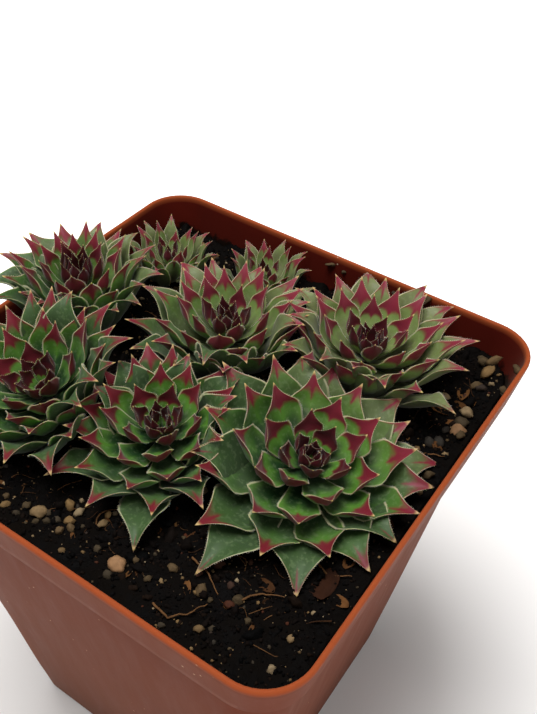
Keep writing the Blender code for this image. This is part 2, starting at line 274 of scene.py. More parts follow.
def steps(start, end, count):
    """Profile points (half, radius, z) from start to end, without the start."""
    mixed = []
    for step in range(1, count + 1):
        share = step / count
        mixed.append(tuple(a + (b - a) * share for a, b in zip(start, end)))
    return mixed


def rounded_lip(half, radius, z, thick, count=5):
    """Profile over the lip: a half circle from the outside to the inside."""
    bow = thick / 2
    return [(half - bow + bow * math.cos(math.pi * step / count),
             radius - bow + bow * math.cos(math.pi * step / count),
             z - bow + bow * math.sin(math.pi * step / count)) for step in range(count + 1)]


slope = (SHOULDER_HALF - BASE_HALF) / SHOULDER_Z
foot = (BASE_HALF + slope * BASE_CHAMFER, BASE_RADIUS, BASE_CHAMFER)
under_shoulder = (SHOULDER_HALF, SHOULDER_RADIUS, SHOULDER_Z)
profile = [(BASE_HALF - BASE_CHAMFER, BASE_RADIUS, 0), foot]
profile += steps(foot, under_shoulder, WALL_ROWS)
profile += [(SHOULDER_HALF + SHOULDER_EASE[0], SHOULDER_RADIUS, SHOULDER_Z + SHOULDER_EASE[1]),
            (SHOULDER_HALF + SHOULDER_STEP - LEDGE_EASE[0], RIM_RADIUS, BAND_Z - LEDGE_EASE[1])]
band_foot = (RIM_HALF - BAND_DRAFT, RIM_RADIUS, BAND_Z + BAND_EASE)
lip = rounded_lip(RIM_HALF, RIM_RADIUS, RIM_Z, WALL)
profile += [band_foot] + steps(band_foot, (RIM_HALF - LIP_DRAW, RIM_RADIUS, RIM_Z - WALL), BAND_ROWS)
profile += lip
band_inside = (RIM_HALF - WALL - BAND_DRAFT, RIM_RADIUS - WALL, BAND_Z)
profile += steps(lip[-1], band_inside, BAND_ROWS)
wall_inside = (SHOULDER_HALF - WALL, SHOULDER_RADIUS - WALL, SHOULDER_Z)
floor_inside = (BASE_HALF + slope * FLOOR_THICK - WALL, BASE_RADIUS - WALL, FLOOR_THICK)
profile += [wall_inside] + steps(wall_inside, floor_inside, INNER_ROWS)

bm = bmesh.new()
wrap_closed(bm, [[bm.verts.new(point) for point in rounded_square(*ring)] for ring in profile])
for vert in bm.verts:
    calm = min(1, vert.co.z / WAVE_START) * (1 if vert.co.z < BAND_Z - STIFF_ABOVE else 0.5)
    push = noise.noise(vert.co / WAVE_LENGTH) * WAVE_HEIGHT * calm
    out = Vector((vert.co.x, vert.co.y, 0)).normalized()
    vert.co += out * push
pot = shown("nursery_pot", as_mesh(bm, "nursery_pot"))

slots = bmesh.new()
for corner in range(4):
    angle = (corner + 0.5) * math.pi / 2
    reach = BASE_HALF * SLOT_SHARE * math.sqrt(2)
    place = Matrix.Translation((reach * math.cos(angle), reach * math.sin(angle), FLOOR_THICK / 2))
    turned = Matrix.Rotation(angle + math.pi / 2, 4, "Z")
    bmesh.ops.create_cube(slots, size=1, matrix=place @ turned @ Matrix.Diagonal(
        (SLOT_LENGTH, SLOT_WIDTH, 4 * FLOOR_THICK, 1)))
cutter = shown("slots", as_mesh(slots, "slots", smooth=False))
cut = pot.modifiers.new("drain slots", "BOOLEAN")
cut.object = cutter
cut.solver = "EXACT"
graph = bpy.context.evaluated_depsgraph_get()
finished = bpy.data.meshes.new_from_object(pot.evaluated_get(graph))
pot.modifiers.clear()
pot.data = finished
bpy.data.objects.remove(cutter)
finished.set_sharp_from_angle(angle=SHARP_FROM)
# how squarely each spot of the wall looks towards the pot's middle
inner_side = finished.attributes.new("inner_side", "FLOAT", "POINT")
inner_side.data.foreach_set("value", [
    -vert.normal.dot(Vector((vert.co.x, vert.co.y, 0)).normalized()) for vert in finished.vertices])

# Injection-moulded polypropylene with a fine satin skin: dull, with a tan haze where it is
# seen from the side, and thin enough to glow a little. Its inside is a deeper red, which is
# painted shade, and the lighter orange band along the lip is a painted highlight. It is faintly
# dusty low down, flecked with dried water, and muddy inside by the soil.
plastic, tree, place = surface(
    "moulded_polypropylene", IOR=1.49, Specular_IOR_Level=0.02, Subsurface_Weight=0.06,
    Subsurface_Scale=0.6 * MM, Subsurface_Radius=(1.0, 0.3, 0.15), Sheen_Weight=0.14,
    Sheen_Roughness=0.35, Sheen_Tint=linear("#ffdcc0"))
height = add(tree, "ShaderNodeSeparateXYZ", (place,)).outputs["Z"]
facing_in = add(tree, "ShaderNodeAttribute", attribute_name="inner_side").outputs["Fac"]
inside = add(tree, "ShaderNodeMapRange", (facing_in, 0.0, 0.5))
blotch = add(tree, "ShaderNodeTexNoise", {"Vector": place, "Scale": 1 / (22.2 * MM), "Detail": 4,
                                          "Roughness": 0.6})
outer = add(tree, "ShaderNodeMix", {0: blotch, 6: linear(POT_BROWN), 7: linear(POT_RUST)},
            data_type="RGBA")
# painted shade: the inside of the pot takes darker reds than the outside
inner = add(tree, "ShaderNodeMix", {0: blotch, 6: linear(POT_INSIDE_SHADE_DARK), 7: linear(POT_INSIDE_SHADE)},
            data_type="RGBA")
colour = add(tree, "ShaderNodeMix", {0: inside, 6: outer, 7: inner}, data_type="RGBA")
# painted highlight: a lighter orange band along the top of the rounded lip
lip_highlight = add(tree, "ShaderNodeMapRange", (height, RIM_Z - 1.4 * MM, RIM_Z - 0.3 * MM))
# grime runs down the wall in streaks about 4 mm wide and 42 mm long
streaks = add(tree, "ShaderNodeMapping",
              {"Vector": place, "Scale": (1 / (3.85 * MM), 1 / (3.85 * MM), 1 / (41.7 * MM))})
grime = add(tree, "ShaderNodeTexNoise", {"Vector": streaks, "Scale": 1.0, "Detail": 5, "Roughness": 0.65})
low = add(tree, "ShaderNodeMapRange", (height, 80 * MM, 5 * MM, 0.0, 0.08))
grime_there = add(tree, "ShaderNodeMapRange", (grime, 0.45, 0.75))
dusty = add(tree, "ShaderNodeMath", (grime_there, low), operation="MULTIPLY")
specks = add(tree, "ShaderNodeTexVoronoi", {"Vector": place, "Scale": 1 / (2.381 * MM), "Randomness": 1.0})
speck = add(tree, "ShaderNodeMapRange", (specks, 0.10, 0.05))
rare = add(tree, "ShaderNodeTexNoise", {"Vector": place, "Scale": 1 / (11.11 * MM), "Detail": 1})
spotted = add(tree, "ShaderNodeMath", (speck, add(tree, "ShaderNodeMapRange", (rare, 0.58, 0.66))),
              operation="MULTIPLY")
muddy = add(tree, "ShaderNodeTexNoise", {"Vector": place, "Scale": 1 / (6.25 * MM), "Detail": 5,
                                         "Roughness": 0.7})
mud_line = add(tree, "ShaderNodeMapRange", (height, BAND_Z + 7 * MM, BAND_Z, -0.35, 0.35))
mud_mask = add(tree, "ShaderNodeMapRange", (add(tree, "ShaderNodeMath", (muddy, mud_line)), 0.56, 0.66))
mud = add(tree, "ShaderNodeMath", (mud_mask, inside), operation="MULTIPLY")
for mask, shade in ((lip_highlight, POT_LIP_HIGHLIGHT), (dusty, POT_DUST), (spotted, DRIED_WATER), (mud, MUD)):
    colour = add(tree, "ShaderNodeMix", {0: mask, 6: colour, 7: linear(shade)}, data_type="RGBA")
rough = add(tree, "ShaderNodeMapRange", (grime, 0.3, 0.8, 0.42, 0.62))
# the skin's texture is finer than this; it is drawn at 1.1 mm so that it shows
scuffs = add(tree, "ShaderNodeTexNoise", {"Vector": place, "Scale": 1 / (1.111 * MM), "Detail": 3})
bump = add(tree, "ShaderNodeBump", {"Strength": 0.25, "Distance": 0.05 * MM, "Height": scuffs})
finish(plastic, Base_Color=colour, Roughness=rough, Normal=bump)
finished.materials.append(plastic)
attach(pot, "root")
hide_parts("pot")

# --- soil --------------------------------------------------------------------------------
# Peaty potting soil: a loose, nearly black crumb with grit, sand and fine roots, heaped a
# little against the back wall. The heap is one body; its crumbs and grains lie on it.
SOIL_GAP = 0.15 * MM
SOIL_CELLS = 170
SOIL_SKIRT = 16 * MM
LUMP_HEIGHT = 0.9 * MM
LUMP_SCALE = 6.0 * MM
FINE_HEIGHT = 0.55 * MM
FINE_SCALE = 1.3 * MM
BANK_HEIGHT = 4.5 * MM
BANK_FROM = 33 * MM
BANK_WIDTH = 8 * MM
BANK_SCALE = 4 * MM
DEEPEST_DIP = 0.9 * MM
OVER_LEDGE = 0.2 * MM
SKIRT_GAP = 0.5 * MM
SURFACE_ABOVE = 80 * MM

soil_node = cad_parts["soil"]
soil_low, soil_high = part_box("soil")
points = [vert.co for vert in soil_node.data.vertices]
faces = [list(face.vertices) for face in soil_node.data.polygons]
soil_skin = BVHTree.FromPolygons(points, faces)
surface_points = [point.z for point in points if point.z > soil_low.z + SURFACE_ABOVE]
SOIL_LEVEL = sorted(surface_points)[len(surface_points) // 2]


def soil_height(x, y):
    """Level of the soil at a place; a stem's hole or a pebble's dent counts as filled."""
    hit = soil_skin.ray_cast(Vector((x, y, soil_high.z + 0.01)), Vector((0, 0, -1)))[0]
    return max(hit.z, SOIL_LEVEL - DEEPEST_DIP) if hit else SOIL_LEVEL


def soil_relief(x, y):
    """Lumps and crumbs over the level of the soil."""
    lumps = noise.noise(Vector((x, y, 0)) / LUMP_SCALE)
    ridges = 0.5 - abs(noise.noise(Vector((x, y, 5 * MM)) / FINE_SCALE)) * 2
    fine = noise.noise(Vector((x, y, 9 * MM)) / FINE_SCALE * 2)
    bank = max(0, noise.noise(Vector((x, y, 20 * MM)) / BANK_SCALE))
    bank *= max(0, min(1, (y - BANK_FROM) / BANK_WIDTH))
    return LUMP_HEIGHT * lumps + FINE_HEIGHT * (0.6 * ridges + 0.6 * fine) + BANK_HEIGHT * bank


top_half = soil_high.x - SOIL_GAP
corner_radius = RIM_RADIUS - WALL


def in_rounded_square(x, y):
    """A place of a square moved into the same square with rounded corners."""
    inner = top_half - corner_radius
    past_x, past_y = abs(x) - inner, abs(y) - inner
    if past_x > 0 and past_y > 0:
        share = max(past_x, past_y) / math.hypot(past_x, past_y)
        x = math.copysign(inner + past_x * share, x)
        y = math.copysign(inner + past_y * share, y)
    return x, y


bm = bmesh.new()
cells = SOIL_CELLS
grid = []
for row in range(cells + 1):
    for column in range(cells + 1):
        x, y = in_rounded_square((2 * column / cells - 1) * top_half, (2 * row / cells - 1) * top_half)
        z = max(soil_height(x, y) + soil_relief(x, y), BAND_Z + OVER_LEDGE)
        grid.append(bm.verts.new((x, y, z)))
for row in range(cells):
    for column in range(cells):
        first = row * (cells + 1) + column
        bm.faces.new((grid[first], grid[first + 1], grid[first + cells + 2], grid[first + cells + 1]))
# a skirt runs down inside the wall from the heap's edge, and a face closes it below
skirt_half = SHOULDER_HALF - WALL - SKIRT_GAP
for half, z in ((skirt_half, SHOULDER_Z), (skirt_half - slope * SOIL_SKIRT, SHOULDER_Z - SOIL_SKIRT)):
    rim_edges = [edge for edge in bm.edges if edge.is_boundary]
    skirt = bmesh.ops.extrude_edge_only(bm, edges=rim_edges)["geom"]
    shrink = half / max(item.co.x for item in skirt if isinstance(item, bmesh.types.BMVert))
    for vert in [item for item in skirt if isinstance(item, bmesh.types.BMVert)]:
        vert.co = Vector((vert.co.x * shrink, vert.co.y * shrink, z))
bmesh.ops.holes_fill(bm, edges=[edge for edge in bm.edges if edge.is_boundary])
heap_mesh = as_mesh(bm, "potting_soil")

# Damp peat, dug and sieved: almost black and a little shiny where it is wet, dark brown and
# dull where it has dried, crumbly all over.
peat, tree, place = surface("damp_peat_soil", IOR=1.4, Specular_IOR_Level=0.06)
patches = add(tree, "ShaderNodeTexNoise", {"Vector": place, "Scale": 1 / (7.14 * MM), "Detail": 6,
                                           "Roughness": 0.7})
dry = add(tree, "ShaderNodeMapRange", (patches, 0.35, 0.7))
peaty = add(tree, "ShaderNodeMix", {0: dry, 6: linear("#040303"), 7: linear("#0d0906")}, data_type="RGBA")
rough = add(tree, "ShaderNodeMapRange", (dry, 0.0, 1.0, 0.62, 0.95))
crumbly = add(tree, "ShaderNodeTexNoise", {"Vector": place, "Scale": 1 / (0.667 * MM), "Detail": 4})
bump = add(tree, "ShaderNodeBump", {"Strength": 0.9, "Distance": 0.3 * MM, "Height": crumbly})
finish(peat, Base_Color=peaty, Roughness=rough, Normal=bump)
heap = shown("potting_soil", heap_mesh, peat)
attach(heap, "root")
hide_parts("soil")


def lump(seed, stretch, rough_share=0.5, subdivisions=1):
    """A small irregular lump, about 1 across, as a mesh."""
    chance = random.Random(seed)
    bm = bmesh.new()
    bmesh.ops.create_icosphere(bm, subdivisions=subdivisions, radius=0.5)
    for vert in bm.verts:
        swell = 1 + rough_share * noise.noise(vert.co * 2.6 + Vector((seed * 9.7, seed, 0)))
        swell += rough_share * chance.uniform(-0.5, 0.3) / subdivisions
        vert.co = Vector(a * b for a, b in zip(vert.co * swell * 1.15, stretch))
    return as_mesh(bm, f"lump_{seed}")


def fibre(seed, bow):
    """A bent root hair, 1 long and lying level, as a mesh with three sides."""
    chance = random.Random(seed)
    steps_along, thick = 8, 0.022
    swing = [chance.uniform(-bow, bow) for _ in range(3)]
    bm = bmesh.new()
    rows = []
    for step in range(steps_along + 1):
        t = step / steps_along
        middle = Vector((t - 0.5, swing[0] * math.sin(3.1 * t) + swing[1] * math.sin(6.2 * t),
                         0.05 * swing[2] * math.sin(9 * t) / bow))
        taper = thick * (1.1 - 0.8 * t)
        rows.append([bm.verts.new(middle + Vector((0, math.cos(turn) * taper, math.sin(turn) * taper)))
                     for turn in (0, 2.1, 4.2)])
    wrap_closed(bm, rows)
    return as_mesh(bm, f"fibre_{seed}")


def flake(seed, size, curl, columns=9, rows=6):
    """A thin curled chip of bark or dead leaf that fills a box of this size."""
    chance = random.Random(seed)
    bm = bmesh.new()
    sheets = []
    for side in (1, -1):
        sheet = []
        for row in range(rows):
            v = row / (rows - 1) * 2 - 1
            line = []
            for column in range(columns):
                u = column / (columns - 1) * 2 - 1
                ragged = 1 - 0.5 * abs(u) ** 3 + 0.25 * noise.noise(Vector((u * 2, v * 2, seed)))
                z = curl * v * v + 0.12 * noise.noise(Vector((u * 3, v * 3, seed + 5))) - curl / 2
                thick = 0.06 * (1 - u ** 4) * (1 - v ** 4) + 0.02
                line.append(bm.verts.new((u * 0.5, v * 0.5 * ragged, z + side * thick)))
            sheet.append(line)
        sheets.append(sheet)
    for sheet in sheets:
        for row in range(rows - 1):
            for column in range(columns - 1):
                bm.faces.new((sheet[row][column], sheet[row][column + 1],
                              sheet[row + 1][column + 1], sheet[row + 1][column]))
    rims = []
    for sheet in sheets:
        rims.append(sheet[0] + [line[-1] for line in sheet[1:]] + list(reversed(sheet[-1][:-1]))
                    + [line[0] for line in reversed(sheet[1:-1])])
    wrap(bm, rims)
    turn = Matrix.Rotation(chance.uniform(-0.2, 0.2), 3, "Z")
    for vert in bm.verts:
        vert.co = Vector(a * b for a, b in zip(turn @ vert.co, size))
    return as_mesh(bm, f"flake_{seed}")


def new_tree(name, **labels):
    """A geometry tree with inputs of each kind, by their labels, and its inputs' sockets."""
    tree = bpy.data.node_groups.new(name, "GeometryNodeTree")
    for kind, named in {"Geometry": ("Geometry",), **labels}.items():
        for label in named:
            tree.interface.new_socket(label, in_out="INPUT", socket_type="NodeSocket" + kind)
    tree.interface.new_socket("Geometry", in_out="OUTPUT", socket_type="NodeSocketGeometry")
    return tree, add(tree, "NodeGroupInput").outputs


def end_tree(tree, geometry, material):
    """End a tree: instances made real, clad in their material and put out."""
    real = add(tree, "GeometryNodeRealizeInstances", {"Geometry": geometry})
    clad = add(tree, "GeometryNodeSetMaterial", {"Geometry": real, "Material": material})
    add(tree, "NodeGroupOutput", (clad,))
    return tree


# eleven patches of grit to 100 mm of soil
PATCH_SIZE = 100 * MM / 11


def scatter_tree():
    """Tree that strews a lump over upward faces, at random sizes, turns and tones."""
    tree, given = new_tree("strewn_crumbs", Object=("Lump",), Material=("Material",), Int=("Seed",),
                           Float=("Density", "Least size", "Greatest size", "Straight", "Patchiness",
                                  "Tumble", "Farthest", "Shoulder", "Ledge"))
    spot = add(tree, "GeometryNodeInputPosition")
    facing = add(tree, "ShaderNodeSeparateXYZ", (add(tree, "GeometryNodeInputNormal"),))
    upward = add(tree, "FunctionNodeCompare", (facing.outputs["Z"], 0.1), operation="GREATER_THAN")
    # how far out a place is, measured so that a line of one distance is a rounded square
    off = add(tree, "ShaderNodeVectorMath", (spot,), operation="ABSOLUTE")
    straight = add(tree, "ShaderNodeCombineXYZ", {"X": given["Straight"], "Y": given["Straight"], "Z": 1.0})
    past = add(tree, "ShaderNodeVectorMath", (off, straight), operation="SUBTRACT")
    past = add(tree, "ShaderNodeVectorMath", (past, (0, 0, 0)), operation="MAXIMUM")
    distance = add(tree, "ShaderNodeVectorMath", (past,), operation="LENGTH").outputs["Value"]
    distance = add(tree, "ShaderNodeMath", (distance, given["Straight"]), operation="ADD")
    # low soil keeps its pieces off the pot's shoulder; high soil keeps them off its wall
    level = add(tree, "ShaderNodeSeparateXYZ", (spot,)).outputs["Z"]
    high = add(tree, "FunctionNodeCompare", (level, given["Ledge"]), operation="GREATER_THAN")
    off_wall = add(tree, "FunctionNodeCompare", (distance, given["Farthest"]), operation="LESS_THAN")
    high = add(tree, "FunctionNodeBooleanMath", (high, off_wall), operation="AND")
    low = add(tree, "FunctionNodeCompare", (distance, given["Shoulder"]), operation="LESS_THAN")
    free = add(tree, "FunctionNodeBooleanMath", (high, low), operation="OR")
    chosen = add(tree, "FunctionNodeBooleanMath", (upward, free), operation="AND")
    drift = add(tree, "ShaderNodeTexNoise",
                {"Vector": spot, "Scale": 1 / PATCH_SIZE, "Detail": 1, "W": given["Seed"]},
                noise_dimensions="4D")
    there = add(tree, "ShaderNodeMapRange", {"Value": drift, "From Min": 0.42, "From Max": 0.62})
    kept = add(tree, "ShaderNodeMix", {0: given["Patchiness"], 2: 1.0, 3: there}, data_type="FLOAT")
    crowd = add(tree, "ShaderNodeMath", (given["Density"], kept), operation="MULTIPLY")
    strewn = add(tree, "GeometryNodeDistributePointsOnFaces",
                 {"Mesh": given["Geometry"], "Selection": chosen, "Density": crowd,
                  "Seed": given["Seed"]})
    chance = add(tree, "FunctionNodeRandomValue", {2: 0.0, 3: 1.0, "Seed": given["Seed"]})
    skewed = add(tree, "ShaderNodeMath", (chance, 2.6), operation="POWER")
    size = add(tree, "ShaderNodeMapRange", {"Value": skewed, "To Min": given["Least size"],
                                            "To Max": given["Greatest size"]})
    any_turn = add(tree, "FunctionNodeRandomValue",
                   {0: (-3.14, -3.14, -3.14), 1: (3.14, 3.14, 3.14), "Seed": given["Seed"]},
                   data_type="FLOAT_VECTOR")
    loose = add(tree, "ShaderNodeCombineXYZ", {"X": given["Tumble"], "Y": given["Tumble"], "Z": 1.0})
    turn = add(tree, "ShaderNodeVectorMath", (any_turn, loose), operation="MULTIPLY")
    model = add(tree, "GeometryNodeObjectInfo", {"Object": given["Lump"]})
    placed = add(tree, "GeometryNodeInstanceOnPoints",
                 {"Points": strewn.outputs["Points"], "Instance": model.outputs["Geometry"],
                  "Rotation": turn, "Scale": size})
    tone = add(tree, "FunctionNodeRandomValue", {2: 0.0, 3: 1.0, "Seed": 77})
    toned = add(tree, "GeometryNodeStoreNamedAttribute",
                {"Geometry": placed, "Name": "tone", "Value": tone}, data_type="FLOAT", domain="INSTANCE")
    return end_tree(tree, toned, given["Material"])


def run_tree(name, mesh, tree, values):
    """The mesh that a tree makes from a mesh, as an object; the modifier is gone from it."""
    carrier = bpy.data.objects.new(name, mesh)
    bpy.context.scene.collection.objects.link(carrier)
    step = carrier.modifiers.new(name, "NODES")
    step.node_group = tree
    for item in tree.interface.items_tree:
        if item.in_out == "INPUT" and item.name in values:
            step[item.identifier] = values[item.name]
    graph = bpy.context.evaluated_depsgraph_get()
    made = bpy.data.meshes.new_from_object(carrier.evaluated_get(graph))
    carrier.modifiers.clear()
    carrier.data = made
    return carrier


def graded(name, shades, rough_values, grain_size, grain_depth):
    """A dull grainy material whose colour runs over the shades by each piece's own tone."""
    made, tree, place = surface(name, IOR=1.45, Specular_IOR_Level=0.08)
    tone = add(tree, "ShaderNodeAttribute", attribute_name="tone").outputs["Fac"]
    ramp = add(tree, "ShaderNodeValToRGB", (tone,))
    ramp.color_ramp.elements[0].color = linear(shades[0])
    ramp.color_ramp.elements[1].color = linear(shades[-1])
    for i, shade in enumerate(shades[1:-1], 1):
        ramp.color_ramp.elements.new(i / (len(shades) - 1)).color = linear(shade)
    grain = add(tree, "ShaderNodeTexNoise", {"Vector": place, "Scale": 1 / grain_size, "Detail": 4})
    spread = add(tree, "ShaderNodeMapRange", (grain, 0.3, 0.7, 0.75, 1.2))
    mottled = add(tree, "ShaderNodeMix", {0: 1.0, 6: ramp, 7: spread}, data_type="RGBA",
                  blend_type="MULTIPLY")
    rough = add(tree, "ShaderNodeMapRange", (grain, 0.3, 0.7, *rough_values))
    bump = add(tree, "ShaderNodeBump", {"Strength": 0.8, "Distance": grain_depth, "Height": grain})
    finish(made, Base_Color=mottled, Roughness=rough, Normal=bump)
    return made


strew = scatter_tree()
# Peat in crumbs: as black as the heap, here and there a browner, drier one.
crumb_stuff = graded("peat_crumbs", ("#030303", "#060505", "#0a0706", "#110b08", "#040303", "#1c120b"),
                     (0.75, 0.95), 0.714 * MM, 0.2 * MM)
# Crushed quartz, brick and pumice: rust, grey and straw grains, dulled by peat.
grit_stuff = graded("quartz_and_pumice_grit",
                    ("#4a2617", "#302c27", "#433828", "#5c4a33", "#765d3c", "#8a7a60"),
                    (0.6, 0.9), 0.909 * MM, 0.15 * MM)
# Dead root: dull brown threads.
fibre_stuff = graded("dead_root_fibre", ("#4a301c", "#2c1b10", "#6b4b2e", "#3a2416"), (0.7, 0.9),
                     1.111 * MM, 0.05 * MM)
# Dry leaf and bark in flakes: dark to fox brown, a little papery.
flake_stuff = graded("dry_leaf_and_bark", ("#3a2312", "#6a4626", "#241509", "#805a34"), (0.7, 0.9),
                     1.667 * MM, 0.15 * MM)
STREWN = {
    # name: model, material, pieces per m2, least and greatest size in mm, patchiness, tumble, seed
    "fine_crumbs": (lump(3, (1.0, 0.8, 0.65), 0.7), crumb_stuff, 1.3e6, 0.3, 1.3, 0.0, 1.0, 3),
    "coarse_crumbs": (lump(11, (1.3, 0.8, 0.6), 0.7, 2), crumb_stuff, 9.0e4, 0.9, 2.8, 0.3, 1.0, 11),
    "grit_grains": (lump(5, (1.0, 0.8, 0.7), 0.6, 2), grit_stuff, 7.0e4, 0.6, 2.2, 0.85, 1.0, 5),
    "sand_grains": (lump(23, (1.0, 0.9, 0.8)), grit_stuff, 2.2e5, 0.25, 0.7, 0.6, 1.0, 23),
    "root_fibres": (fibre(8, 0.25), fibre_stuff, 3.0e4, 2.5, 11.0, 0.3, 0.06, 31),
    "root_threads": (fibre(9, 0.12), fibre_stuff, 5.0e4, 1.5, 7.0, 0.3, 0.12, 37),
    "leaf_litter": (flake(6, (1, 0.55, 0.5), 0.3, 5, 4), flake_stuff, 3.5e4, 1.2, 4.2, 0.6, 0.12, 43),
}
# how far pieces reach and rise round their middles, in shares of the greatest: a tumbled lump
# all round, a flat piece only along the soil
LUMP_REACH = (0.75, 0.5)
FLAT_REACH = (0.5, 0.15)
for name, (mesh, stuff, density, least, greatest, patchy, tumble, seed) in STREWN.items():
    model = shown(f"{name}_model", mesh)
    reach, rise = [greatest * MM * share for share in (LUMP_REACH if tumble == 1 else FLAT_REACH)]
    shoulder = skirt_half - reach
    strewn = run_tree(name, heap_mesh.copy(), strew, {
        "Lump": model, "Material": stuff, "Density": density, "Least size": least * MM,
        "Greatest size": greatest * MM, "Patchiness": patchy, "Tumble": tumble,
        "Straight": min(top_half - corner_radius, shoulder - 1 * MM), "Shoulder": shoulder,
        "Farthest": top_half - reach, "Ledge": BAND_Z + rise, "Seed": seed})
    bpy.data.objects.remove(model)
    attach(strewn, "root")

# --- pebbles and bark --------------------------------------------------------------------
# Three river pebbles and a chip of composted pine bark, pressed into the soil when the pot
# was filled. Round them lie larger grit, soil splashed on the wall, and bent dead roots.
PEBBLE_SEED = 40
PEBBLE_ROUGHNESS = 0.25
BARK_CURL = 0.55

# River pebble: warm tan stone, worn smooth, with a soft mottle.
pebble_stuff = graded("river_pebble", ("#8a6648", "#a07c58", "#6e4e36"), (0.5, 0.8), 1.429 * MM, 0.1 * MM)
# Composted pine bark: dark red brown, rough and dull.
bark_stuff = graded("composted_pine_bark", ("#4a2c18", "#6b4024", "#2e1a10"), (0.75, 0.95), 2 * MM, 0.25 * MM)
for index, name in enumerate(("pebble_front", "pebble_left", "pebble_right", "bark_chip")):
    low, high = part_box(name)
    stone = name != "bark_chip"
    if stone:
        mesh = lump(PEBBLE_SEED + index, high - low, PEBBLE_ROUGHNESS, 3)
    else:
        mesh = flake(4, high - low, BARK_CURL, 13, 9)
    mesh.transform(Matrix.Translation((low + high) / 2))
    tone = mesh.attributes.new("tone", "FLOAT", "POINT")
    tone.data.foreach_set("value", [0.2 + 0.3 * index] * len(mesh.vertices))
    piece = shown(f"{name}_stone" if stone else "bark_sliver", mesh,
                  pebble_stuff if stone else bark_stuff)
    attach(piece, "root")
    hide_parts(name)

# grit, clay and crushed pumice that stand out from the soil: place and size in mm, and tone
GRIT = (
    (-15.0, -37.1, 2.5, 0.75), (-12.0, -35.4, 2.6, 0.45), (-9.4, -35.0, 3.6, 0.85),
    (-6.1, -31.3, 3.0, 0.8), (-4.1, -31.3, 2.5, 0.95), (-4.0, -33.6, 2.8, 0.8),
    (-2.7, -34.6, 2.4, 0.6), (-3.8, -36.1, 2.3, 0.6), (-5.8, -34.6, 2.2, 0.3),
    (-1.8, -32.8, 1.4, 0.35), (0.8, -30.7, 2.8, 0.85), (0.4, -29.1, 1.6, 0.8), (4.0, -28.5, 2.4, 0.25),
    (-1.0, -38.4, 1.6, 0.7), (3.5, -35.1, 2.2, 0.35), (9.9, -33.2, 2.2, 0.5), (15.4, -30.8, 2.4, 0.55),
    (19.1, -29.0, 1.6, 0.1), (18.7, -26.1, 1.6, 0.1), (20.7, -25.8, 2.6, 0.1),
    (24.4, -22.4, 1.5, 0.1), (13.6, -34.7, 1.8, 0.45), (21.2, -31.2, 2.9, 0.55),
    (23.4, -31.7, 1.5, 0.4), (26.4, -30.9, 2.6, 0.05), (25.2, -36.9, 2.2, 0.65),
    (20.3, -39.7, 2.0, 0.3), (30.5, -31.7, 2.0, 0.4), (-16.2, -35.8, 1.8, 0.5),
    (-12.1, -37.5, 1.7, 0.3), (-7.1, -35.6, 2.0, 0.35), (-8.6, -36.7, 1.6, 0.4),
    (38.7, 26.8, 4.2, 0.9), (40.4, 20.6, 3.6, 0.5), (39.0, 23.9, 3.6, 0.35), (37.8, 37.7, 3.6, 0.8),
    (37.7, 40.4, 3.6, 0.65), (36.1, 40.1, 4.2, 0.45), (37.1, 34.4, 3.2, 0.55), (35.0, 41.2, 2.0, 0.4),
    (32.7, 36.1, 2.4, 0.4), (37.9, 17.2, 2.8, 0.2), (36.4, 16.3, 2.6, 0.2), (39.6, 9.2, 3.2, 0.45),
    (37.5, 20.6, 2.2, 0.2), (40.0, 37.8, 1.2, 0.8), (35.8, 40.6, 2.6, 0.3), (29.5, 40.7, 3.0, 0.55),
)
# soil that has dried on the inside of the rim: place, depth under the lip and size in mm, tone
SPLASHES = (
    (20.6, 43.5, 0.8, 1.9, 0.5), (11.5, 43.6, 0.9, 1.1, 0.4), (13.5, 43.6, 2.4, 0.9, 0.3),
    (-1.7, 43.5, 2.0, 1.7, 0.5), (1.6, 43.6, 2.6, 1.0, 0.4), (23.9, 43.5, 3.3, 1.1, 0.25),
    (22.1, 43.4, 5.5, 1.5, 0.25), (43.5, 35.5, 1.0, 1.7, 0.5), (43.5, 28.9, 0.9, 1.4, 0.45),
    (-14.0, 43.1, 4.5, 1.4, 0.25), (43.4, 31.5, 4.4, 1.6, 0.3),
)
# bends of dead roots that lie on the soil, in mm
ROOTS = (
    ((16.8, -37.4), (18.5, -37.8), (20.3, -38.1), (21.3, -36.9), (22.3, -35.8), (23.0, -34.2), (23.7, -32.7)),
    ((16.4, -27.3), (18.1, -27.7), (19.5, -28.0), (21.7, -29.1), (23.7, -30.3)),
    ((27.3, -29.4), (29.4, -26.6), (32.7, -25.1)),
    ((33.7, -17.3), (36.2, -17.6), (39.3, -16.2)),
    ((35.5, 10.5), (37.0, 13.5), (40.3, 14.5)),
)
GRIT_RAISED = 0.10
GRIT_SHARE = 0.72
ROOT_THICKNESS = 0.16 * MM
ROOT_WAVINESS = 1.2 * MM
ROOT_LIFT = 0.5 * MM
ROOT_STEP = 0.5 * MM
# 42 wanderings to 100 mm of root
ROOT_WANDER = 100 * MM / 42


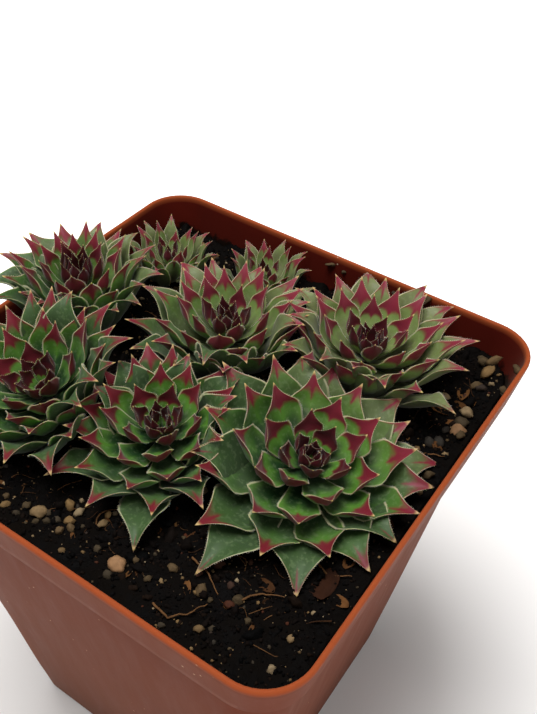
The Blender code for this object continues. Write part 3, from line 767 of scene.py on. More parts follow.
def laid_tree():
    """Tree that lays a lump of its own size and tone at each point."""
    tree, given = new_tree("laid_grit", Object=("Lump",), Material=("Material",), Float=("Flatness",),
                           Int=("Seed",))
    model = add(tree, "GeometryNodeObjectInfo", {"Object": given["Lump"]})
    turn = add(tree, "FunctionNodeRandomValue",
               {0: (-0.6, -0.6, -3.14), 1: (0.6, 0.6, 3.14), "Seed": given["Seed"]}, data_type="FLOAT_VECTOR")
    size = add(tree, "GeometryNodeInputNamedAttribute", {"Name": "size"}, data_type="FLOAT")
    least = add(tree, "ShaderNodeCombineXYZ", {"X": 0.75, "Y": 0.55, "Z": given["Flatness"]})
    shape = add(tree, "FunctionNodeRandomValue", {0: least, 1: (1.15, 0.95, 0.75), "Seed": given["Seed"]},
                data_type="FLOAT_VECTOR")
    scale = add(tree, "ShaderNodeVectorMath", {0: shape, "Scale": size}, operation="SCALE")
    placed = add(tree, "GeometryNodeInstanceOnPoints",
                 {"Points": given["Geometry"], "Instance": model.outputs["Geometry"],
                  "Rotation": turn, "Scale": scale})
    return end_tree(tree, placed, given["Material"])


def thread_tree():
    """Tree that turns lines into thin bent threads, thinner towards the end."""
    tree, given = new_tree("bent_threads", Float=("Thickness", "Waviness"), Material=("Material",))
    lines = add(tree, "GeometryNodeMeshToCurve", {"Mesh": given["Geometry"]})
    dense = add(tree, "GeometryNodeResampleCurve", {"Curve": lines, "Length": ROOT_STEP}, mode="LENGTH")
    wander = add(tree, "ShaderNodeTexNoise", {"Scale": 1 / ROOT_WANDER, "Detail": 2})
    centred = add(tree, "ShaderNodeVectorMath", (wander.outputs["Color"], (0.5, 0.5, 0.5)),
                  operation="SUBTRACT")
    push = add(tree, "ShaderNodeVectorMath", {0: centred, "Scale": given["Waviness"]}, operation="SCALE")
    bent = add(tree, "GeometryNodeSetPosition", {"Geometry": dense, "Offset": push})
    along = add(tree, "GeometryNodeSplineParameter").outputs["Factor"]
    taper = add(tree, "ShaderNodeMapRange", {"Value": along, "To Min": 1.3, "To Max": 0.5})
    radius = add(tree, "ShaderNodeMath", (given["Thickness"], taper), operation="MULTIPLY")
    ring = add(tree, "GeometryNodeCurvePrimitiveCircle", {"Resolution": 5, "Radius": 1.0})
    tube = add(tree, "GeometryNodeCurveToMesh", {"Curve": bent, "Profile Curve": ring, "Scale": radius,
                                                 "Fill Caps": True})
    toned = add(tree, "GeometryNodeStoreNamedAttribute", {"Geometry": tube, "Name": "tone", "Value": 0.6},
                data_type="FLOAT", domain="POINT")
    return end_tree(tree, toned, given["Material"])


lay = laid_tree()
for name, seed, flatness, spots in (
        ("standing_grit", 3, 0.5,
         [(x, y, soil_height(x * MM, y * MM) / MM + soil_relief(x * MM, y * MM) / MM + GRIT_RAISED * size,
           size * GRIT_SHARE, tone) for x, y, size, tone in GRIT]),
        ("dried_splashes", 4, 0.3,
         [(x, y, RIM_Z / MM - depth, size, tone) for x, y, depth, size, tone in SPLASHES])):
    mesh = bpy.data.meshes.new(name)
    mesh.from_pydata([Vector(spot[:3]) * MM for spot in spots], [], [])
    mesh.attributes.new("size", "FLOAT", "POINT").data.foreach_set("value", [spot[3] * MM for spot in spots])
    mesh.attributes.new("tone", "FLOAT", "POINT").data.foreach_set("value", [spot[4] for spot in spots])
    model = shown(f"{name}_model", lump(seed, (1, 1, 1), 0.55, 2))
    piece = run_tree(name, mesh, lay, {"Lump": model, "Material": grit_stuff, "Flatness": flatness,
                                       "Seed": seed})
    bpy.data.objects.remove(model)
    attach(piece, "root")

lines = bpy.data.meshes.new("bent_roots")
bends, links = [], []
for root in ROOTS:
    links += [(len(bends) + i, len(bends) + i + 1) for i in range(len(root) - 1)]
    bends += [(x * MM, y * MM, soil_height(x * MM, y * MM) + ROOT_LIFT) for x, y in root]
lines.from_pydata(bends, links, [])
roots = run_tree("bent_roots", lines, thread_tree(), {
    "Thickness": ROOT_THICKNESS, "Waviness": ROOT_WAVINESS, "Material": fibre_stuff})
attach(roots, "root")

# --- stems -------------------------------------------------------------------------------
# Short thick stems of living wood, rooted in the soil and hidden under the leaves. They are
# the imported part's own solids; only their bark is added here.

# Cork: dull grey brown, pitted with the scars of old leaves.
stem_stuff, tree, place = surface("corky_stem", Roughness=0.85, IOR=1.4)
scars = add(tree, "ShaderNodeTexVoronoi", {"Vector": place, "Scale": 1 / (1.429 * MM)})
corky = add(tree, "ShaderNodeMix", {0: scars, 6: linear("#5d4630"), 7: linear("#2b1c12")}, data_type="RGBA")
bump = add(tree, "ShaderNodeBump", {"Strength": 0.7, "Distance": 0.2 * MM, "Height": scars})
finish(stem_stuff, Base_Color=corky, Normal=bump)
for name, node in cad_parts.items():
    if name.endswith("_stem"):
        node.data.materials.clear()
        node.data.materials.append(stem_stuff)

# --- rosettes ----------------------------------------------------------------------------
# Eight houseleek rosettes. Each is one spiral of fleshy leaves on a short crown, a golden
# angle apart, youngest in the heart. A leaf is broadest above its middle, cupped and drawn
# to a spine, and its margin carries a fringe of short stiff hairs.
GOLDEN_ANGLE = math.radians(137.508)
WALL_CLEARANCE = 0.6 * MM
BORDER_OVERLAP = 1.6 * MM
FACING_WALL = 0.05
FACING_NEIGHBOUR = 0.15
WITHERED = 1.75
OLD_LEAVES = 5
BUD_LEAVES = 7
SMALL_BUD_LEAVES = 3
YOUNGEST = 0.03
LEAF_CLEARANCE = 1.9 * MM
RIM_RAMP = 7 * MM
CROWN_RADIUS = 2.2 * MM
CROWN_BELOW_HEART = 1.5 * MM
LEAN_SHARE = 0.9
LEAF_THICKNESS_SHARE = 0.085
CUPPING = 0.16
HAIR_SPACING = 0.38 * MM
HAIR_LENGTH = 0.30 * MM
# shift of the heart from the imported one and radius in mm; number of leaves; how fast they open;
# rise of the young tips and fall of the old ones, in radii; turn in degrees and sense of the
# spiral; vigour against its neighbours; lean; half width of a leaf in radii
Rosette = namedtuple("Rosette", "shift radius leaves opening rise fall turn spiral vigour lean leaf_width")
ROSETTES = {
    "front": Rosette((-0.3, 0.6, -0.8), 24.0, 39, 0.81, 0.50, 0.70, 76.8, -1, 1.45, (0.24, -0.11), 0.222),
    "near": Rosette((0.0, 0.8, -1.3), 19.8, 40, 0.68, 0.48, 0.60, 104.9, -1, 0.95, (0.08, -0.14), 0.21),
    "left": Rosette((-0.2, 0.0, -1.9), 20.6, 40, 0.54, 0.56, 0.44, 48.1, -1, 1.05, (-0.08, -0.28), 0.20),
    "middle": Rosette((-0.8, 0.3, -0.4), 20.0, 41, 0.68, 0.56, 0.60, 99.7, -1, 1.00, (0.0, 0.0), 0.188),
    "right": Rosette((-0.1, -0.1, -1.0), 20.6, 41, 0.69, 0.57, 0.58, 36.7, 1, 1.05, (0.05, 0.03), 0.188),
    "far_left": Rosette((-3.7, 0.2, 0.6), 17.0, 38, 0.64, 0.50, 0.57, 29.8, -1, 1.00, (0.0, 0.0), 0.21),
    "small_left": Rosette((-0.5, -1.0, 0.2), 11.0, 26, 0.66, 0.66, 0.50, 20.0, 1, 0.85, (0.0, 0.05), 0.185),
    "small_back": Rosette((-0.7, 0.2, 0.0), 10.4, 24, 0.66, 0.66, 0.50, 65.0, -1, 0.85, (0.0, 0.03), 0.185),
}
# the one that grows out over the rim
OVER_RIM = "far_left"
LEAF_ROWS = {
    # share of the leaf's length: width share, thickness share
    0.00: (0.38, 0.70), 0.14: (0.52, 1.00), 0.28: (0.70, 1.00), 0.42: (0.87, 0.97),
    0.54: (0.99, 0.92), 0.63: (0.99, 0.84), 0.71: (0.90, 0.74), 0.77: (0.74, 0.62),
    0.82: (0.55, 0.52), 0.865: (0.37, 0.42), 0.905: (0.23, 0.34), 0.945: (0.125, 0.26),
    0.975: (0.06, 0.16),
}
LEAF_COLUMNS = (-1.0, -0.9, -0.5, 0.0, 0.5, 0.9, 1.0)
UPPER_SWELL = 0.30
LOWER_SWELL = 0.75


def leaf_template():
    """One leaf: y runs from root to spine, x across in half widths, z in thicknesses."""
    bm = bmesh.new()
    along = bm.verts.layers.float.new("along")
    across = bm.verts.layers.float.new("across")
    upper = bm.verts.layers.float.new("upper")

    def point(t, u, side, width, thick):
        swell = UPPER_SWELL * (1 - abs(u) ** 2.5) if side > 0 else -LOWER_SWELL * (1 - abs(u) ** 1.7)
        vert = bm.verts.new((u * width, t, swell * thick))
        vert[along], vert[across], vert[upper] = t, u, 0.5 + 0.5 * side
        return vert

    rows = []
    for t, shape in LEAF_ROWS.items():
        row = [point(t, u, 0 if abs(u) == 1 else 1, *shape) for u in LEAF_COLUMNS]
        row += [point(t, u, -1, *shape) for u in reversed(LEAF_COLUMNS[1:-1])]
        rows.append(row)
    wrap(bm, rows)
    root = point(-0.02, 0, 0, 0.3, 0)
    spine = point(1.0, 0, 0, 0, 0)
    for i in range(len(rows[0])):
        j = (i + 1) % len(rows[0])
        bm.faces.new((rows[0][j], rows[0][i], root))
        bm.faces.new((rows[-1][i], rows[-1][j], spine))
    return as_mesh(bm, "leaf")


def rosette_tree():
    """Tree that grows a leaf from each point: it knows its number and how far it may reach."""
    tree, given = new_tree(
        "houseleek_rosette", Object=("Leaf", "Hair"), Material=("Skin", "Hair skin"),
        Vector=("Crown", "Lean"), Int=("Seed",),
        Float=("Leaves", "Radius", "Opening", "Tip rise", "Tip fall", "Turn", "Spiral",
               "Crown height", "Crown radius", "Leaf width", "Leaf thickness", "Cupping", "Soil",
               "Rim", "Hair spacing", "Hair length"))

    # every point becomes a whole leaf that still knows its point's number and reach
    model = add(tree, "GeometryNodeObjectInfo", {"Object": given["Leaf"]})
    spread = add(tree, "GeometryNodeInstanceOnPoints",
                 {"Points": given["Geometry"], "Instance": model.outputs["Geometry"]})
    leaves = add(tree, "GeometryNodeRealizeInstances", {"Geometry": spread})
    part = {socket.name: socket for socket in given if socket.name}
    for label, attribute, kind in (("number", "leaf", "INT"), ("reach", "reach", "FLOAT"),
                                   ("along", "along", "FLOAT"), ("across", "across", "FLOAT")):
        part[label] = add(tree, "GeometryNodeInputNamedAttribute", {"Name": attribute}, data_type=kind)
    for salt, (label, least, most) in enumerate((
            ("turn chance", -0.07, 0.07), ("length chance", 0.94, 1.06),
            ("height chance", -0.7 * MM, 0.7 * MM),
            ("width chance", 0.92, 1.08), ("sway chance", -0.24, 0.24), ("roll chance", -0.22, 0.22),
            ("tone", 0.0, 1.0), ("blush", 0.0, 1.0), ("bend chance", 0.85, 1.15)), 1):
        seed = add(tree, "ShaderNodeMath", (given["Seed"], salt), operation="ADD")
        part[label] = add(tree, "FunctionNodeRandomValue", {2: least, 3: most, "ID": part["number"],
                                                            "Seed": seed})
    local = add(tree, "ShaderNodeSeparateXYZ", (add(tree, "GeometryNodeInputPosition"),)).outputs
    part.update(x=local["X"], z=local["Z"])

    # where a leaf starts and ends, how wide it is and how it bends, from its age in the spiral
    for label, operation, *inputs in (
            ("share", "DIVIDE", "number", "Leaves"),
            ("steady", "SUBTRACT", 1.0, "share"),
            ("bud", "MULTIPLY_ADD", "share", -0.16, 0.20),
            ("left", "SMOOTH_MAX", "steady", "bud", 0.08),
            ("age", "POWER", "left", "Opening"),
            ("less", "SUBTRACT", 1.0, "age"),
            ("young", "MAXIMUM", "less", 0.0),
            ("turns", "MULTIPLY", "number", GOLDEN_ANGLE),
            ("spin", "MULTIPLY_ADD", "turns", "Spiral", "Turn"),
            ("azimuth", "ADD", "spin", "turn chance"),
            ("length", "MULTIPLY", "Radius", "length chance"),
            ("free", "MULTIPLY", "length", "age"),
            ("held", "SMOOTH_MIN", "free", "reach", 3 * MM),
            ("tip r", "MAXIMUM", "held", 0.3 * MM),
            ("squeezed", "SUBTRACT", "free", "tip r"),
            ("sunk", "MULTIPLY", "age", "Tip fall"),
            ("rise", "SUBTRACT", "Tip rise", "sunk"),
            ("lift", "MULTIPLY", "age", "rise"),
            ("high", "MULTIPLY_ADD", "Radius", "lift", "Crown height"),
            ("higher", "MULTIPLY_ADD", "squeezed", 0.55, "high"),
            ("tip z", "ADD", "higher", "height chance"),
            ("root share", "MULTIPLY_ADD", "age", 0.55, 0.25),
            ("root r", "MULTIPLY", "Crown radius", "root share"),
            ("root level", "MULTIPLY_ADD", "young", 0.60, 0.10),
            ("root z", "MULTIPLY", "Crown height", "root level"),
            ("run", "SUBTRACT", "tip r", "root r"),
            ("climb", "SUBTRACT", "tip z", "root z"),
            ("run2", "MULTIPLY", "run", "run"),
            ("chord2", "MULTIPLY_ADD", "climb", "climb", "run2"),
            ("chord", "SQRT", "chord2"),
            ("young2", "POWER", "young", 1.5),
            ("start angle", "MULTIPLY_ADD", "young2", 1.25, -0.12),
            ("age2", "POWER", "age", 2.2),
            ("bend", "MULTIPLY", "age2", "bend chance"),
            ("end angle", "MULTIPLY_ADD", "bend", -1.40, 1.85),
            ("handle", "MULTIPLY", "chord", 0.42),
            ("start cos", "COSINE", "start angle"),
            ("start sin", "SINE", "start angle"),
            ("end cos", "COSINE", "end angle"),
            ("end sin", "SINE", "end angle"),
            ("p1 r", "MULTIPLY_ADD", "start cos", "handle", "root r"),
            ("p1 z", "MULTIPLY_ADD", "start sin", "handle", "root z"),
            ("back", "MULTIPLY", "handle", -1.0),
            ("p2 r", "MULTIPLY_ADD", "end cos", "back", "tip r"),
            ("p2 z", "MULTIPLY_ADD", "end sin", "back", "tip z"),
            ("breadth", "MULTIPLY", "Radius", "Leaf width"),
            ("age3", "POWER", "age", 0.52),
            ("mean half", "MULTIPLY", "breadth", "age3"),
            ("half", "MULTIPLY", "mean half", "width chance"),
            ("fleshy", "MULTIPLY_ADD", "age", 0.5, 0.5),
            ("thick", "MULTIPLY", "Leaf thickness", "fleshy")):
        part[label] = add(tree, "ShaderNodeMath", [part.get(item, item) for item in inputs],
                          operation=operation)

    # the midrib: a curve of four points in the plane of radius and height
    ends = [add(tree, "ShaderNodeCombineXYZ", {"X": part[r], "Z": part[z]}) for r, z in (
        ("root r", "root z"), ("p1 r", "p1 z"), ("p2 r", "p2 z"), ("tip r", "tip z"))]
    while len(ends) > 2:
        ends = [add(tree, "ShaderNodeMix", {0: part["along"], 4: first, 5: second}, data_type="VECTOR")
                for first, second in zip(ends, ends[1:])]
    spot = add(tree, "ShaderNodeMix", {0: part["along"], 4: ends[0], 5: ends[1]}, data_type="VECTOR")
    tangent = add(tree, "ShaderNodeVectorMath", (ends[1], ends[0]), operation="SUBTRACT")
    path = add(tree, "ShaderNodeVectorMath", (tangent,), operation="NORMALIZE")
    heading = add(tree, "ShaderNodeSeparateXYZ", (path,)).outputs
    backward = add(tree, "ShaderNodeMath", (heading["Z"], -1.0), operation="MULTIPLY")
    up = add(tree, "ShaderNodeCombineXYZ", {"X": backward, "Z": heading["X"]})

    # the blade round the midrib: cupped in the middle, pinched and turned out at the tip
    part["pinched"] = add(tree, "ShaderNodeMapRange",
                          (part["along"], 0.60, 0.92, 0.0, 0.60), interpolation_type="SMOOTHSTEP")
    part["at tip"] = add(tree, "ShaderNodeMapRange", (part["along"], 0.76, 1.0))
    for label, operation, *inputs in (
            ("along2", "MULTIPLY", "along", "along"),
            ("sway", "MULTIPLY_ADD", "along2", "sway chance", "x"),
            ("aside", "MULTIPLY", "sway", "half"),
            ("x2", "MULTIPLY", "x", "x"),
            ("hollow", "MULTIPLY_ADD", "young", 0.34, "Cupping"),
            ("cup", "MULTIPLY", "x2", "hollow"),
            ("far x", "ABSOLUTE", "x"),
            ("cup and fold", "MULTIPLY_ADD", "far x", "pinched", "cup"),
            ("rolled", "MULTIPLY_ADD", "x", "roll chance", "cup and fold"),
            ("blade", "MULTIPLY", "rolled", "half"),
            ("with flesh", "MULTIPLY_ADD", "z", "thick", "blade"),
            ("at tip2", "MULTIPLY", "at tip", "at tip"),
            ("outward", "MULTIPLY", "chord", -0.075),
            ("raised", "MULTIPLY_ADD", "at tip2", "outward", "with flesh")):
        part[label] = add(tree, "ShaderNodeMath", [part.get(item, item) for item in inputs],
                          operation=operation)
    flat = add(tree, "ShaderNodeVectorMath", {0: up, "Scale": part["raised"]}, operation="SCALE")
    grown = add(tree, "ShaderNodeVectorMath", (spot, flat), operation="ADD")
    sideways = add(tree, "ShaderNodeCombineXYZ", {"Y": part["aside"]})
    grown = add(tree, "ShaderNodeVectorMath", (grown, sideways), operation="ADD")
    turned = add(tree, "ShaderNodeVectorRotate", {"Vector": grown, "Angle": part["azimuth"]},
                 rotation_type="Z_AXIS")
    leant = add(tree, "ShaderNodeVectorRotate", {"Vector": turned, "Rotation": given["Lean"]},
                rotation_type="EULER_XYZ")
    placed = add(tree, "ShaderNodeVectorMath", (leant, given["Crown"]), operation="ADD")
    world = add(tree, "ShaderNodeSeparateXYZ", (placed,)).outputs

    # a leaf that would sink into the soil lies on it, or on the rim where it leaves the pot
    off = add(tree, "ShaderNodeMath", (world["X"],), operation="ABSOLUTE")
    bed = add(tree, "ShaderNodeMapRange",
              (off, RIM_HALF - RIM_RAMP, RIM_HALF - WALL, given["Soil"], given["Rim"]),
              interpolation_type="SMOOTHSTEP")
    part.update(level=world["Z"], bed=bed)
    for label, operation, *inputs in (
            ("under", "SUBTRACT", "level", "raised"),
            ("resting", "SMOOTH_MAX", "under", "bed", 2 * MM),
            ("rested", "ADD", "resting", "raised")):
        part[label] = add(tree, "ShaderNodeMath", [part.get(item, item) for item in inputs],
                          operation=operation)
    final = add(tree, "ShaderNodeCombineXYZ", {"X": world["X"], "Y": world["Y"], "Z": part["rested"]})
    hairward = add(tree, "ShaderNodeVectorMath",
                   {0: path, 1: (0.7, 0.7, 0.7), 2: add(tree, "ShaderNodeCombineXYZ", {"Y": part["across"]})},
                   operation="MULTIPLY_ADD")
    hairward = add(tree, "ShaderNodeVectorRotate", {"Vector": hairward, "Angle": part["azimuth"]},
                   rotation_type="Z_AXIS")
    hairward = add(tree, "ShaderNodeVectorRotate", {"Vector": hairward, "Rotation": given["Lean"]},
                   rotation_type="EULER_XYZ")
    known = leaves
    for label, kind, value in (("hairward", "FLOAT_VECTOR", hairward), ("age", "FLOAT", part["age"]),
                               ("tone", "FLOAT", part["tone"]), ("blush", "FLOAT", part["blush"])):
        known = add(tree, "GeometryNodeStoreNamedAttribute",
                    {"Geometry": known, "Name": label, "Value": value}, data_type=kind, domain="POINT")
    moved = add(tree, "GeometryNodeSetPosition", {"Geometry": known, "Position": final})
    skinned = add(tree, "GeometryNodeSetMaterial", {"Geometry": moved, "Material": given["Skin"]})

    # the fringe: the leaf's two edges as curves, with a hair at every step
    edge = add(tree, "ShaderNodeMath", (part["across"],), operation="ABSOLUTE")
    chosen = add(tree, "FunctionNodeCompare", (edge, 0.99), operation="GREATER_THAN")
    for bound, operation in ((0.3, "GREATER_THAN"), (0.95, "LESS_THAN")):
        within = add(tree, "FunctionNodeCompare", (part["along"], bound), operation=operation)
        chosen = add(tree, "FunctionNodeBooleanMath", (chosen, within), operation="AND")
    edges = add(tree, "GeometryNodeMeshToCurve", {"Mesh": moved, "Selection": chosen})
    stations = add(tree, "GeometryNodeResampleCurve", {"Curve": edges, "Length": given["Hair spacing"]},
                   mode="LENGTH")
    heading = add(tree, "GeometryNodeInputNamedAttribute", {"Name": "hairward"}, data_type="FLOAT_VECTOR")
    facing = add(tree, "FunctionNodeAlignRotationToVector", {"Vector": heading}, axis="Z")
    strand = add(tree, "GeometryNodeObjectInfo", {"Object": given["Hair"]})
    uneven = add(tree, "FunctionNodeRandomValue", {2: 0.45, 3: 1.0, "Seed": given["Seed"]})
    size = add(tree, "ShaderNodeMath", (given["Hair length"], uneven), operation="MULTIPLY")
    hairs = add(tree, "GeometryNodeInstanceOnPoints",
                {"Points": stations, "Instance": strand.outputs["Geometry"], "Rotation": facing,
                 "Scale": size})
    fringe = add(tree, "GeometryNodeRealizeInstances", {"Geometry": hairs})
    fringe = add(tree, "GeometryNodeSetMaterial", {"Geometry": fringe, "Material": given["Hair skin"]})
    both = add(tree, "GeometryNodeJoinGeometry", {0: skinned})
    tree.links.new(fringe.outputs[0], both.inputs[0])
    add(tree, "NodeGroupOutput", (both,))
    return tree


# Living houseleek leaf: waxy and finely felted, and light sinks into it a little. It is grass
# green near the heart, greyer with bloom further out, crimson at the tip and down the rib and the
# margins, with a pale edge and a straw-coloured spine. Painted shade darkens the leaf bases, and
# painted light brightens the green towards the edges and makes the leaves paler and their
# crimson pinker towards the back of the pot.
leaf_skin, tree, place = surface(
    "houseleek_leaf", IOR=1.42, Specular_IOR_Level=0.35, Subsurface_Weight=0.24,
    Subsurface_Scale=1.4 * MM, Subsurface_Radius=(0.5, 1.0, 0.2), Sheen_Weight=0.12,
    Sheen_Roughness=0.4)
part = {label: add(tree, "ShaderNodeAttribute", attribute_name=label).outputs["Fac"]
        for label in ("along", "across", "upper", "age", "tone", "blush")}
part["back"] = add(tree, "ShaderNodeSeparateXYZ", (place,)).outputs["Y"]
part["mottle"] = add(tree, "ShaderNodeTexNoise",
                     {"Vector": place, "Scale": 1 / (3.03 * MM), "Detail": 4, "Roughness": 0.6})
part["grain"] = add(tree, "ShaderNodeTexNoise",
                    {"Vector": place, "Scale": 1 / (0.769 * MM), "Detail": 3})
part["broad mottle"] = add(tree, "ShaderNodeTexNoise",
                           {"Vector": place, "Scale": 1 / (9.09 * MM), "Detail": 2})
for label, operation, *inputs in (
        ("edge", "ABSOLUTE", "across"),
        ("inward", "SUBTRACT", 1.0, "edge"),
        ("rib", "POWER", "inward", 6.0),
        ("rim", "POWER", "edge", 8.0),
        ("less", "SUBTRACT", 1.0, "age"),
        ("young", "MAXIMUM", "less", 0.0),
        ("very young", "POWER", "young", 3.0),
        # crimson: under the spine, running down the midrib and the two margins
        ("down rib", "MULTIPLY_ADD", "rib", 0.10, "along"),
        ("down rims", "MULTIPLY_ADD", "rim", 0.15, "down rib"),
        ("blushed", "MULTIPLY_ADD", "blush", 0.10, "down rims"),
        ("mottled", "MULTIPLY_ADD", "mottle", 0.16, "blushed"),
        ("younger", "MULTIPLY_ADD", "young", 0.13, "mottled"),
        ("reddest", "MULTIPLY_ADD", "very young", 0.60, "younger"),
        ("oldness", "POWER", "age", 4.0),
        ("depth", "MULTIPLY_ADD", "oldness", -0.05, "reddest")):
    part[label] = add(tree, "ShaderNodeMath", [part.get(item, item) for item in inputs],
                      operation=operation)
for label, source, low, high, least, most in (
        ("top side", "upper", 0.42, 0.58, 0.0, 1.0),
        ("old", "age", 0.55, 1.0, 0.0, 0.85),
        # painted light: paler leaves and pinker crimson towards the back of the pot
        ("painted_back_paling", "back", -5 * MM, 28 * MM, 0.0, 0.26),
        ("painted_back_light", "back", -20 * MM, 25 * MM, 0.0, 0.38),
        # painted shade: the lower part of every leaf darkened, most towards the root
        ("painted_base_shade", "along", 0.94, 0.46, 0.0, 0.95),
        ("bloom", "broad mottle", 0.40, 0.70, 0.0, 0.24),
        ("fresh", "depth", 0.70, 0.96, 0.0, 0.75),
        ("fuzz", "grain", 0.50, 0.66, 0.0, 0.16),
        ("lit rim", "edge", 0.50, 1.00, 0.0, 0.5),
        ("crimson", "depth", 0.955, 1.06, 0.0, 1.0),
        ("maroon", "age", 0.46, 0.15, 0.0, 0.9),
        ("pale", "edge", 0.89, 0.97, 0.0, 0.72),
        ("grown", "age", 0.15, 0.60, 0.15, 1.0),
        ("spine", "along", 0.955, 0.985, 0.0, 1.0)):
    part[label] = add(tree, "ShaderNodeMapRange", (part[source], low, high, least, most),
                      interpolation_type="SMOOTHSTEP")
# layers from the green of the blade up to the spine, each laid over the last by a mask
skin = add(tree, "ShaderNodeMix", {0: part["tone"], 6: linear("#244d1e"), 7: linear("#335e26")},
           data_type="RGBA").outputs[2]
under = add(tree, "ShaderNodeMix", {0: part["tone"], 6: linear("#45623f"), 7: linear("#66835c")},
            data_type="RGBA").outputs[2]
skin = add(tree, "ShaderNodeMix", {0: part["top side"], 6: under, 7: skin}, data_type="RGBA").outputs[2]
for label, one, other in (("maroon", "maroon", "crimson"), ("painted_lit_crimson", "painted_back_light", "crimson"),
                          ("margin", "pale", "grown")):
    part[label] = add(tree, "ShaderNodeMath", (part[one], part[other]), operation="MULTIPLY")
# the first layer is painted shade at the leaf bases
for mask, shade in (("painted_base_shade", "#173516"), ("bloom", "#6e8056"), ("lit rim", "#608236"),
                    ("fresh", "#528224"), ("old", "#35482a"), ("fuzz", "#8b9d74"),
                    # painted light: the pale layer and the pinker crimson towards the back of the pot
                    ("painted_back_paling", "#b9b57e"), ("crimson", "#6c1823"), ("painted_lit_crimson", "#98344a"), ("maroon", "#36080e"),
                    ("margin", "#c4c198"), ("spine", "#bda16a")):
    skin = add(tree, "ShaderNodeMix", {0: part[mask], 6: skin, 7: linear(shade)},
               data_type="RGBA").outputs[2]
rough = add(tree, "ShaderNodeMapRange", (part["mottle"], 0.3, 0.7, 0.42, 0.60))
# the felt is finer than 0.38 mm; it is drawn so coarse so that it shows
felt = add(tree, "ShaderNodeTexNoise", {"Vector": place, "Scale": 1 / (0.3846 * MM), "Detail": 2})
bump = add(tree, "ShaderNodeBump", {"Strength": 0.25, "Distance": 0.06 * MM, "Height": felt})
finish(leaf_skin, Base_Color=skin, Roughness=rough, Normal=bump)

# Leaf hairs: clear, stiff and glossy, and pale against the leaf.
hair_skin, tree, place = surface("leaf_hair", Roughness=0.4, Subsurface_Weight=0.2,
                                 Subsurface_Scale=0.2 * MM)
tint = add(tree, "ShaderNodeTexNoise", {"Vector": place, "Scale": 1 / (16.67 * MM)})
hairy = add(tree, "ShaderNodeMix", {0: tint, 6: linear("#c9b58f"), 7: linear("#e3dcc4")}, data_type="RGBA")
finish(hair_skin, Base_Color=hairy)

bm = bmesh.new()
bmesh.ops.create_cone(bm, segments=3, radius1=0.13, radius2=0.0, depth=1.0, cap_ends=True,
                      matrix=Matrix.Translation((0, 0, 0.45)))
hair = shown("hair", as_mesh(bm, "hair", smooth=False))
leaf = shown("leaf", leaf_template())
grow = rosette_tree()

hearts, packed_rings = {}, {}
for name, rosette in ROSETTES.items():
    rings = sorted(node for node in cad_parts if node.startswith(f"{name}_leaf_ring_"))
    low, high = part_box(rings[-1])
    heart = Vector(((low.x + high.x) / 2, (low.y + high.y) / 2, high.z))
    hearts[name] = heart + Vector(rosette.shift) * MM
    packed_rings[name] = rings


def reach_of(name, direction):
    """How far a leaf of a rosette may reach in a direction, by the pot and its neighbours."""
    heart, rosette = hearts[name], ROSETTES[name]
    limits = [2 * rosette.radius * MM]
    for normal in ((1, 0), (-1, 0), (0, 1), (0, -1)):
        towards = direction.x * normal[0] + direction.y * normal[1]
        if towards > FACING_WALL and not (name == OVER_RIM and normal == (-1, 0)):
            room = RIM_HALF - WALL - WALL_CLEARANCE - heart.x * normal[0] - heart.y * normal[1]
            limits.append(room / towards)
    for other, neighbour in ROSETTES.items():
        apart = (hearts[other] - heart) * Vector((1, 1, 0))
        if other == name or apart.length == 0:
            continue
        towards = direction.dot(apart.normalized())
        if towards > FACING_NEIGHBOUR:
            mine = rosette.radius * MM * rosette.vigour
            theirs = neighbour.radius * MM * neighbour.vigour
            limits.append((apart.length * mine / (mine + theirs) + BORDER_OVERLAP) / towards)
    return min(limits)


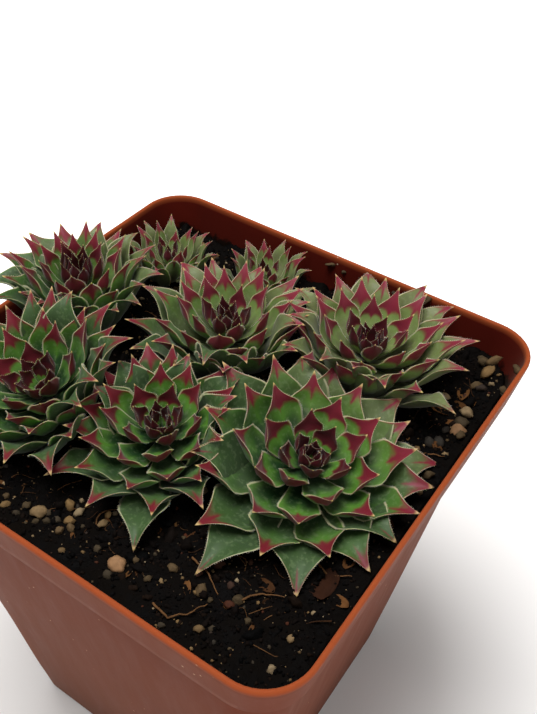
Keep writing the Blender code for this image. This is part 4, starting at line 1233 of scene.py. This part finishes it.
for seed, (name, rosette) in enumerate(ROSETTES.items(), 1):
    heart, rings = hearts[name], packed_rings[name]
    radius, leaves = rosette.radius * MM, rosette.leaves
    turn = math.radians(rosette.turn)
    crown_foot = Vector((heart.x, heart.y, SOIL_LEVEL))
    axis = Vector((*rosette.lean, 1)).normalized()
    crown_foot -= Vector((axis.x, axis.y, 0)) * (heart.z - SOIL_LEVEL) * LEAN_SHARE
    tilt = Vector((0, 0, 1)).rotation_difference(axis).to_euler("XYZ")
    whole = []
    small = len(rings) < 4
    first, last = (0, leaves + SMALL_BUD_LEAVES) if small else (-OLD_LEAVES, leaves + BUD_LEAVES)
    for number in range(first, last):
        age = max(1 - number / leaves, YOUNGEST) ** rosette.opening
        angle = turn + rosette.spiral * GOLDEN_ANGLE * number
        room = reach_of(name, Vector((math.cos(angle), math.sin(angle), 0)))
        if radius * age < WITHERED * room:
            whole.append((number, room))
    heart_from = leaves * (len(rings) - 1) // len(rings)
    for section, chosen, nodes, slot in (
            ("leaves", [w for w in whole if w[0] < heart_from], rings[:-1], "leaf"),
            ("heart", [w for w in whole if w[0] >= heart_from], rings[-1:], "heart_leaf")):
        mesh = bpy.data.meshes.new(f"{name}_{section}")
        mesh.from_pydata([crown_foot] * len(chosen), [], [])
        mesh.attributes.new("leaf", "INT", "POINT").data.foreach_set("value", [w[0] for w in chosen])
        mesh.attributes.new("reach", "FLOAT", "POINT").data.foreach_set("value", [w[1] for w in chosen])
        piece = run_tree(f"{name}_{section}", mesh, grow, {
            "Leaf": leaf, "Hair": hair, "Skin": leaf_skin, "Hair skin": hair_skin,
            "Leaves": float(leaves), "Radius": radius, "Opening": rosette.opening,
            "Tip rise": rosette.rise, "Tip fall": rosette.fall, "Turn": turn,
            "Spiral": float(rosette.spiral), "Crown": crown_foot, "Lean": tilt,
            "Crown height": heart.z - SOIL_LEVEL - CROWN_BELOW_HEART, "Crown radius": CROWN_RADIUS,
            "Leaf width": rosette.leaf_width, "Leaf thickness": LEAF_THICKNESS_SHARE * radius,
            "Cupping": CUPPING, "Soil": SOIL_LEVEL + LEAF_CLEARANCE,
            "Rim": (RIM_Z if name == OVER_RIM else SOIL_LEVEL) + LEAF_CLEARANCE,
            "Hair spacing": HAIR_SPACING, "Hair length": HAIR_LENGTH, "Seed": seed * 10})
        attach(piece, "root")
        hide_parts(*nodes)
bpy.data.objects.remove(leaf)
bpy.data.objects.remove(hair)
